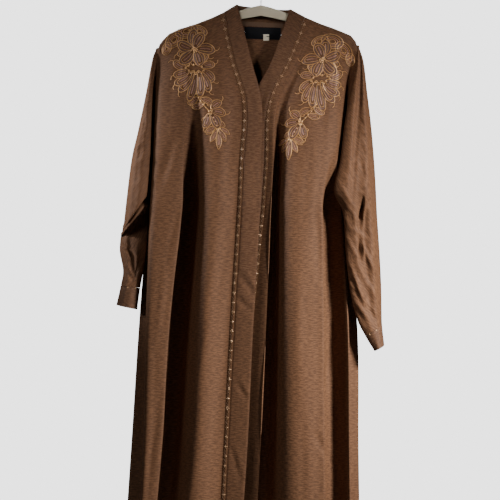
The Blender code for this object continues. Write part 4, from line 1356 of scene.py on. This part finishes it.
# Petals, the nearest first: the foot of each, the way it points in degrees up from the viewer's right,
# its length and width, and how pointed it is. Petals further down the list run behind the others.
Petal = namedtuple("Petal", "x z angle length width tip")
PETALS = (
    *(Petal(-150, -188, 62 - 66 * step, 42 + 5 * (step % 2), 25, 0.62) for step in range(6)),
    *(
        Petal(-161 + 5 * step, -236 - 4 * (step % 2), -162 + 19 * step, length, 19, 0.42)
        for step, length in enumerate((38, 48, 60, 68, 62, 50, 36))
    ),
    Petal(-113, -329, -12, 34, 19, 0.6),
    Petal(-114, -333, -62, 40, 22, 0.6),
    Petal(-117, -333, -108, 36, 19, 0.6),
    Petal(-113, -325, 38, 30, 18, 0.6),
    Petal(-168, -232, 150, 34, 18, 0.5),
    Petal(-163, -228, 112, 34, 18, 0.5),
    Petal(-135, -230, 14, 32, 17, 0.5),
    Petal(-140, -226, 54, 32, 17, 0.5),
    Petal(-152, -226, 84, 34, 20, 0.5),
    Petal(-152, -186, 98, 34, 18, 0.6),
    Petal(-146, -188, -36, 34, 18, 0.6),
    Petal(-155, -190, 196, 36, 18, 0.6),
    Petal(-140, -296, -148, 30, 14, 0.6),
    Petal(-136, -300, -24, 30, 14, 0.6),
    Petal(-127, -312, -166, 30, 14, 0.6),
    Petal(-121, -316, 14, 26, 13, 0.6),
    Petal(-108, -345, -172, 26, 12, 0.7),
    Petal(-104, -352, -28, 26, 12, 0.7),
    Petal(-100, -362, -152, 28, 12, 0.8),
    Petal(-96, -368, -62, 34, 11, 0.9),
    Petal(-97, -370, -88, 46, 12, 1.0),
    Petal(-99, -368, -116, 34, 11, 1.0),
    Petal(-94, -366, -34, 28, 9, 1.0),
    Petal(-101, -364, -142, 28, 9, 1.0),
)
FIRST_SMALL_PETAL = 25
# Where along a petal it is fullest, and how far it bends to one side
FULLEST = 1.25
PETAL_BEND = 0.12
# A stem from the fan to the lower flower and on to the tip
STEM = ((-146, -290), (-133, -311), (-116, -330), (-104, -350), (-96, -370))
# Curled loops at the shoulder: middle, half length and half width, and the turn of each
Loop = namedtuple("Loop", "x z long wide turn")
LOOPS = rows_of(
    Loop,
    (-168, -146, 26, 16, 16),
    (-196, -166, 24, 15, 44),
    (-140, -146, 19, 12, -20),
    (-213, -186, 15, 10, 70),
)


def petal_side(petal, share, out_by):
    """A point of a petal's edge: share runs from its foot to its tip, out_by from -1 to 1 across it."""
    angle = math.radians(petal.angle)
    along = petal.length * share
    half = petal.width / 2 * max(math.sin(math.pi * min(share, 1.0) ** FULLEST), 0.0) ** petal.tip
    bend = petal.width * PETAL_BEND * math.sin(math.pi * share)
    across = half * out_by + bend
    return (
        petal.x + along * math.cos(angle) - across * math.sin(angle),
        petal.z + along * math.sin(angle) + across * math.cos(angle),
    )


def behind_petal(petal, x, z, margin=0.6):
    """Whether a point lies behind a petal, seen from the front."""
    angle = math.radians(petal.angle)
    along = (x - petal.x) * math.cos(angle) + (z - petal.z) * math.sin(angle)
    across = (z - petal.z) * math.cos(angle) - (x - petal.x) * math.sin(angle)
    share = along / petal.length
    if not 0.0 < share < 1.0:
        return False
    half = petal.width / 2 * math.sin(math.pi * share**FULLEST) ** petal.tip
    bend = petal.width * PETAL_BEND * math.sin(math.pi * share)
    return abs(across - bend) < half + margin


def petal_ring(petal, first, last, wide):
    """A petal's outline between two shares of its length, up one side and back down the other."""
    shares = np.linspace(first, last, 18)
    near = [petal_side(petal, share, wide) for share in shares]
    return near + [petal_side(petal, share, -wide) for share in shares[::-1]]


def loop_ring(loop, size):
    """The points of a loop drawn at a share of its full size."""
    around = np.linspace(0, 2 * math.pi, 41)
    turn = math.radians(loop.turn)
    x = loop.long * size * np.cos(around)
    z = loop.wide * size * np.sin(around)
    across = loop.x + x * math.cos(turn) - z * math.sin(turn)
    up = loop.z + x * math.sin(turn) + z * math.cos(turn)
    return list(zip(across, up))


def seen_parts(line, petals):
    """The parts of a stroke that no nearer petal covers."""
    parts = [[]]
    for x, z in even_line(line, COVERED_STEP):
        if any(behind_petal(petal, x, z) for petal in petals):
            parts.append([])
        else:
            parts[-1].append((x, z))
    return [part for part in parts if len(part) > 2]


def flower_strokes():
    """The spray as strokes seen from the front: kind of thread, radius at both ends, and points."""
    strokes = []
    for number, petal in enumerate(PETALS):
        nearer = PETALS[:number]
        vein = [petal_side(petal, share, 0.0) for share in np.linspace(0.25, 0.76, 8)]
        drawn = [
            ("gold", CORD, CORD, petal_ring(petal, 0.0, 1.0, 1.0)),
            ("gold", INNER_CORD, INNER_CORD, petal_ring(petal, 0.2, 0.84, 0.5)),
            ("rose", SATIN * 0.5, SATIN * 0.8, vein),
        ]
        for wide, thick in ((0.78, 0.55), (0.64, 0.6)):
            drawn.append(("mauve", SATIN * thick, SATIN * thick, petal_ring(petal, 0.12, 0.9, wide)))
        if number < FIRST_SMALL_PETAL:
            for beside in (-0.24, 0.24):
                side = [petal_side(petal, share, beside) for share in np.linspace(0.28, 0.72, 6)]
                drawn.append(("mauve", SATIN * 0.5, SATIN * 0.7, side))
        for kind, start, end, line in drawn:
            strokes += [(kind, start, end, part) for part in seen_parts(line, nearer)]
    for loop in LOOPS:
        for kind, size, radius in (
            ("gold", 1.0, CORD),
            ("mauve", 0.86, SATIN * 0.6),
            ("gold", 0.72, CORD * 0.8),
            ("rose", 0.5, SATIN * 0.6),
            ("gold", 0.3, CORD * 0.8),
        ):
            strokes += [(kind, radius, radius, part) for part in seen_parts(loop_ring(loop, size), PETALS)]
    for petal in PETALS[:FIRST_SMALL_PETAL]:
        # A short curled sprig grows on past the petal's tip
        foot = np.array(petal_side(petal, 1.0, 0.0))
        turns = math.radians(petal.angle) + np.linspace(0.0, SPRIG_CURL, 7)
        steps = np.stack([np.cos(turns), np.sin(turns)], axis=1) * SPRIG_STEP
        sprig = np.concatenate([[foot], foot + np.cumsum(steps, axis=0)])
        strokes += [("gold", CORD * 0.8, CORD * 0.6, part) for part in seen_parts(sprig, PETALS)]
    strokes += [("gold", CORD, CORD * 0.8, part) for part in seen_parts(STEM, PETALS)]
    return strokes


def mirrored_stroke(points):
    """The same stroke in the spray on the viewer's right, which hangs a little lower and steeper."""
    return [(-x - 5 + 0.10 * (z + 128), z - 24) for x, z in points]


def even_line(points, step):
    """The points of a line at even steps along it."""
    points = np.array(points, float)
    length = run_length(points)
    places = np.linspace(0, length[-1], max(3, int(length[-1] / step) + 1))
    return read_at(places, length, points).T


def on_cloth(trees, x, z):
    """Where a needle pushed in from the front meets the cloth, and the way the cloth faces there."""
    start = Vector((x * MM, NEEDLE_START, z * MM))
    hits = [tree.ray_cast(start, Vector((0, 1, 0))) for tree in trees]
    hits = [hit for hit in hits if hit[0] is not None]
    if not hits:
        return None
    nearest = min(hits, key=lambda hit: hit[3])
    return np.array(nearest[0]) / MM, np.array(nearest[1])


def sewn_strokes(trees, points, start_radius, end_radius):
    """A stroke laid on the cloth, broken where it would have to jump a gap."""
    runs = [[]]
    line = even_line(points, STROKE_STEP)
    for share, (x, z) in zip(np.linspace(0, 1, len(line)), line):
        found = on_cloth(trees, x, z)
        radius = start_radius + (end_radius - start_radius) * share
        if found is None or found[1][1] > FACES_FRONT:
            runs.append([])
            continue
        place = found[0] + found[1] * radius * CORD_SHOWS
        if runs[-1] and np.linalg.norm(place - runs[-1][-1][0]) > LARGEST_JUMP:
            runs.append([])
        runs[-1].append((place, radius))
    return [([place for place, _ in run], [radius for _, radius in run]) for run in runs if len(run) > 2]


threads = {
    "gold": metal_thread("gold_cord", (0.64, 0.345, 0.125), (0.34, 0.16, 0.052), 0.25, 0.45),
    "mauve": metal_thread("mauve_cord", (0.155, 0.073, 0.050), (0.080, 0.035, 0.025), 0.05, 0.55),
    "rose": metal_thread("rose_satin", (0.42, 0.205, 0.135), (0.24, 0.105, 0.068), 0.05, 0.42),
}
spray = flower_strokes()
spray_cloths = {
    side: nearest_cloth([bpy.data.objects["cloth_" + name] for name in (front, "sleeve_" + side)])
    for side, front in (("left", "front_over"), ("right", "front_under"))
}
for side, trees in spray_cloths.items():
    for kind, stuff in threads.items():
        laid = []
        for stroke_kind, start_radius, end_radius, points in spray:
            if stroke_kind == kind:
                points = points if side == "left" else mirrored_stroke(points)
                laid += sewn_strokes(trees, points, start_radius, end_radius)
        lay_threads("embroidery_" + side + "_" + kind, laid, stuff)


# The beads
#
# Small gold glass beads sewn at the middle of each flower, at the foot of each large petal and down the
# stem.

BEAD_SIZE = np.array([1.5, 1.5, 1.2])
BEAD_LIES = np.array([0.0, 0.0, -1.0])
BEAD_FOOT = 0.08
STEM_BEADS = 9.0
FLOWER_MIDDLES = (
    (-150, -190),
    (-155, -187),
    (-146, -194),
    (-150, -195),
    (-114, -328),
    (-118, -330),
    (-92, -369),
)

bpy.ops.object.select_all(action="DESELECT")
bpy.ops.mesh.primitive_uv_sphere_add(segments=8, ring_count=5, radius=1.0)
bead = bpy.context.object
bead_glass = foiled_glass("bead_glass", (0.90, 0.55, 0.25))
bead_places = [
    *FLOWER_MIDDLES,
    *(petal_side(petal, BEAD_FOOT, 0.0) for petal in PETALS[:FIRST_SMALL_PETAL]),
    *(tuple(point) for point in even_line(STEM, STEM_BEADS)),
]
for side, trees in spray_cloths.items():
    sewn = []
    for x, z in bead_places if side == "left" else mirrored_stroke(bead_places):
        found = on_cloth(trees, x, z)
        if found is not None and found[1][1] < FACES_FRONT:
            sewn.append((found[0] + found[1], BEAD_LIES, found[1], BEAD_SIZE))
    beads = copies("beads_" + side, bead, sewn, bead_glass)
    select_only(beads)
    bpy.ops.object.shade_smooth()
bpy.data.objects.remove(bead, do_unlink=True)


# The hanger and its hook
#
# The hanger is wood painted cream, with a tan colour in noisy patches where its edges face up. The
# hook is polished steel wire screwed into it.

CREAM = ((0.50, 0.41, 0.28), (0.66, 0.57, 0.42))
TAN_COLOUR = (0.42, 0.23, 0.10, 1.0)
STEEL = (0.62, 0.62, 0.63, 1.0)


def painted_wood():
    """Cream paint with fine brush marks, turning tan in noisy patches where the edges face up."""
    made, tree, shader = new_material("painted_wood", Roughness=0.45)
    where = add_node(tree, "ShaderNodeTexCoord", "place")
    marks = streaks(tree, "brush marks", where, (14.0, 260.0, 260.0), 3.0, "Object")
    tan_patches = clouds(tree, "tan patches", where, 24.0, 4.0)
    shape = add_node(tree, "ShaderNodeNewGeometry", "shape")
    split = add_node(tree, "ShaderNodeSeparateXYZ", "upward share")
    top = add_node(tree, "ShaderNodeMapRange", "top edges", From_Min=0.75, From_Max=0.95)
    tan_share = add_node(tree, "ShaderNodeMath", "tan where facing up", {"operation": "MULTIPLY"})
    colour = add_node(tree, "ShaderNodeMix", "cream or tan", {"data_type": "RGBA"}, B=TAN_COLOUR)
    two_colours(tree, "cream paint", *CREAM, marks, "Fac", colour, "A")
    link(tree, shape, "Normal", split, "Vector")
    link(tree, split, "Z", top, "Value")
    tree.links.new(top.outputs["Result"], tan_share.inputs[0])
    tree.links.new(tan_patches.outputs["Fac"], tan_share.inputs[1])
    link(tree, tan_share, "Value", colour, "Factor")
    link(tree, colour, "Result", shader, "Base Color")
    relief(tree, "brush relief", 0.25, 0.2, marks, "Fac", shader)
    return made


def drawn_steel():
    """Polished steel wire with faint lines along it and cloudy spots."""
    made, tree, shader = new_material("drawn_steel", Metallic=1.0, Base_Color=STEEL)
    where = add_node(tree, "ShaderNodeTexCoord", "place")
    spots = clouds(tree, "cloudy spots", where, 180.0, 4.0)
    polish = add_node(tree, "ShaderNodeMapRange", "polish", To_Min=0.16, To_Max=0.38)
    lines = streaks(tree, "drawn lines", where, (900.0, 900.0, 40.0), 2.0, "Object")
    link(tree, spots, "Fac", polish, "Value")
    link(tree, polish, "Result", shader, "Roughness")
    relief(tree, "drawn relief", 0.15, 0.1, lines, "Fac", shader)
    return made


for name, stuff in (("hanger", painted_wood()), ("hanger_hook", drawn_steel())):
    for material_slot in bpy.data.objects[name].material_slots:
        material_slot.material = stuff


# The stage
#
# A plain pale floor under the hem and soft studio light. The camera looks straight on, level with the
# waist, and takes in the garment from its neck to below its knees.

CAMERA_AWAY = 6.0
PICTURE_WIDE = 1.125
PICTURE_MIDDLE = (-24.75, -641.5)
FRONT_OF_CLOTH = -0.05
FLOOR_SIZE = 4.0
FLOOR_HEIGHT = -1.62
ROOM_SEEN = 3.6
ROOM_FELT = 0.005

bpy.ops.object.select_all(action="DESELECT")
bpy.ops.mesh.primitive_plane_add(size=FLOOR_SIZE, location=(0.0, 0.0, FLOOR_HEIGHT))
floor = bpy.context.object
floor.name = "floor"
paper = new_material("pale_paper", Base_Color=(0.8, 0.8, 0.79, 1.0), Roughness=0.9)[0]
floor.data.materials.append(paper)

SoftLight = namedtuple("SoftLight", "name place aim wide spread watts")
for light in (
    SoftLight("key", (1.35, -1.1, 0.15), (0.13, 0.0, -1.0), 0.3, 28.0, 12.0),
    SoftLight("cool side", (-1.6, -1.5, 0.1), (-0.1, 0.0, -0.7), 0.5, 28.0, 0.9),
    SoftLight("left edge", (-2.1, -0.14, 0.1), (-0.33, 0.0, -0.40), 0.4, 9.0, 1.25),
    SoftLight("neck fill", (-0.7, -1.5, 0.5), (0.03, 0.0, -0.2), 0.3, 6.0, 0.12),
    SoftLight("back", (0.3, 2.4, 0.6), (0.0, 0.0, -0.7), 1.4, 40.0, 10.0),
):
    bpy.ops.object.light_add(type="AREA", location=light.place)
    lamp = bpy.context.object
    lamp.name = light.name
    lamp.data.size = light.wide
    lamp.data.spread = math.radians(2 * light.spread)
    lamp.data.energy = light.watts
    aim = Vector(light.aim) - Vector(light.place)
    lamp.rotation_euler = aim.to_track_quat("-Z", "Y").to_euler()

# The room is pale where the camera sees it, and dimmer on the cloth, so that folds stay deep
world = bpy.data.worlds.new("pale_room")
world.use_nodes = True
room = world.node_tree
seen = room.nodes["Background"]
seen.inputs["Color"].default_value = (0.8, 0.8, 0.8, 1.0)
seen.inputs["Strength"].default_value = ROOM_SEEN
dim = add_node(room, "ShaderNodeBackground", "dim room", Color=(0.8, 0.8, 0.82, 1.0), Strength=ROOM_FELT)
ray = add_node(room, "ShaderNodeLightPath", "ray")
choice = add_node(room, "ShaderNodeMixShader", "seen or felt")
room.links.new(ray.outputs["Is Camera Ray"], choice.inputs[0])
room.links.new(dim.outputs[0], choice.inputs[1])
room.links.new(seen.outputs[0], choice.inputs[2])
room.links.new(choice.outputs[0], room.nodes["World Output"].inputs[0])
bpy.context.scene.world = world

x, z = PICTURE_MIDDLE
bpy.ops.object.camera_add(
    location=(x * MM, FRONT_OF_CLOTH - CAMERA_AWAY, z * MM), rotation=(math.radians(90), 0.0, 0.0)
)
camera = bpy.context.object
camera.data.lens = camera.data.sensor_width * CAMERA_AWAY / PICTURE_WIDE
bpy.context.scene.camera = camera
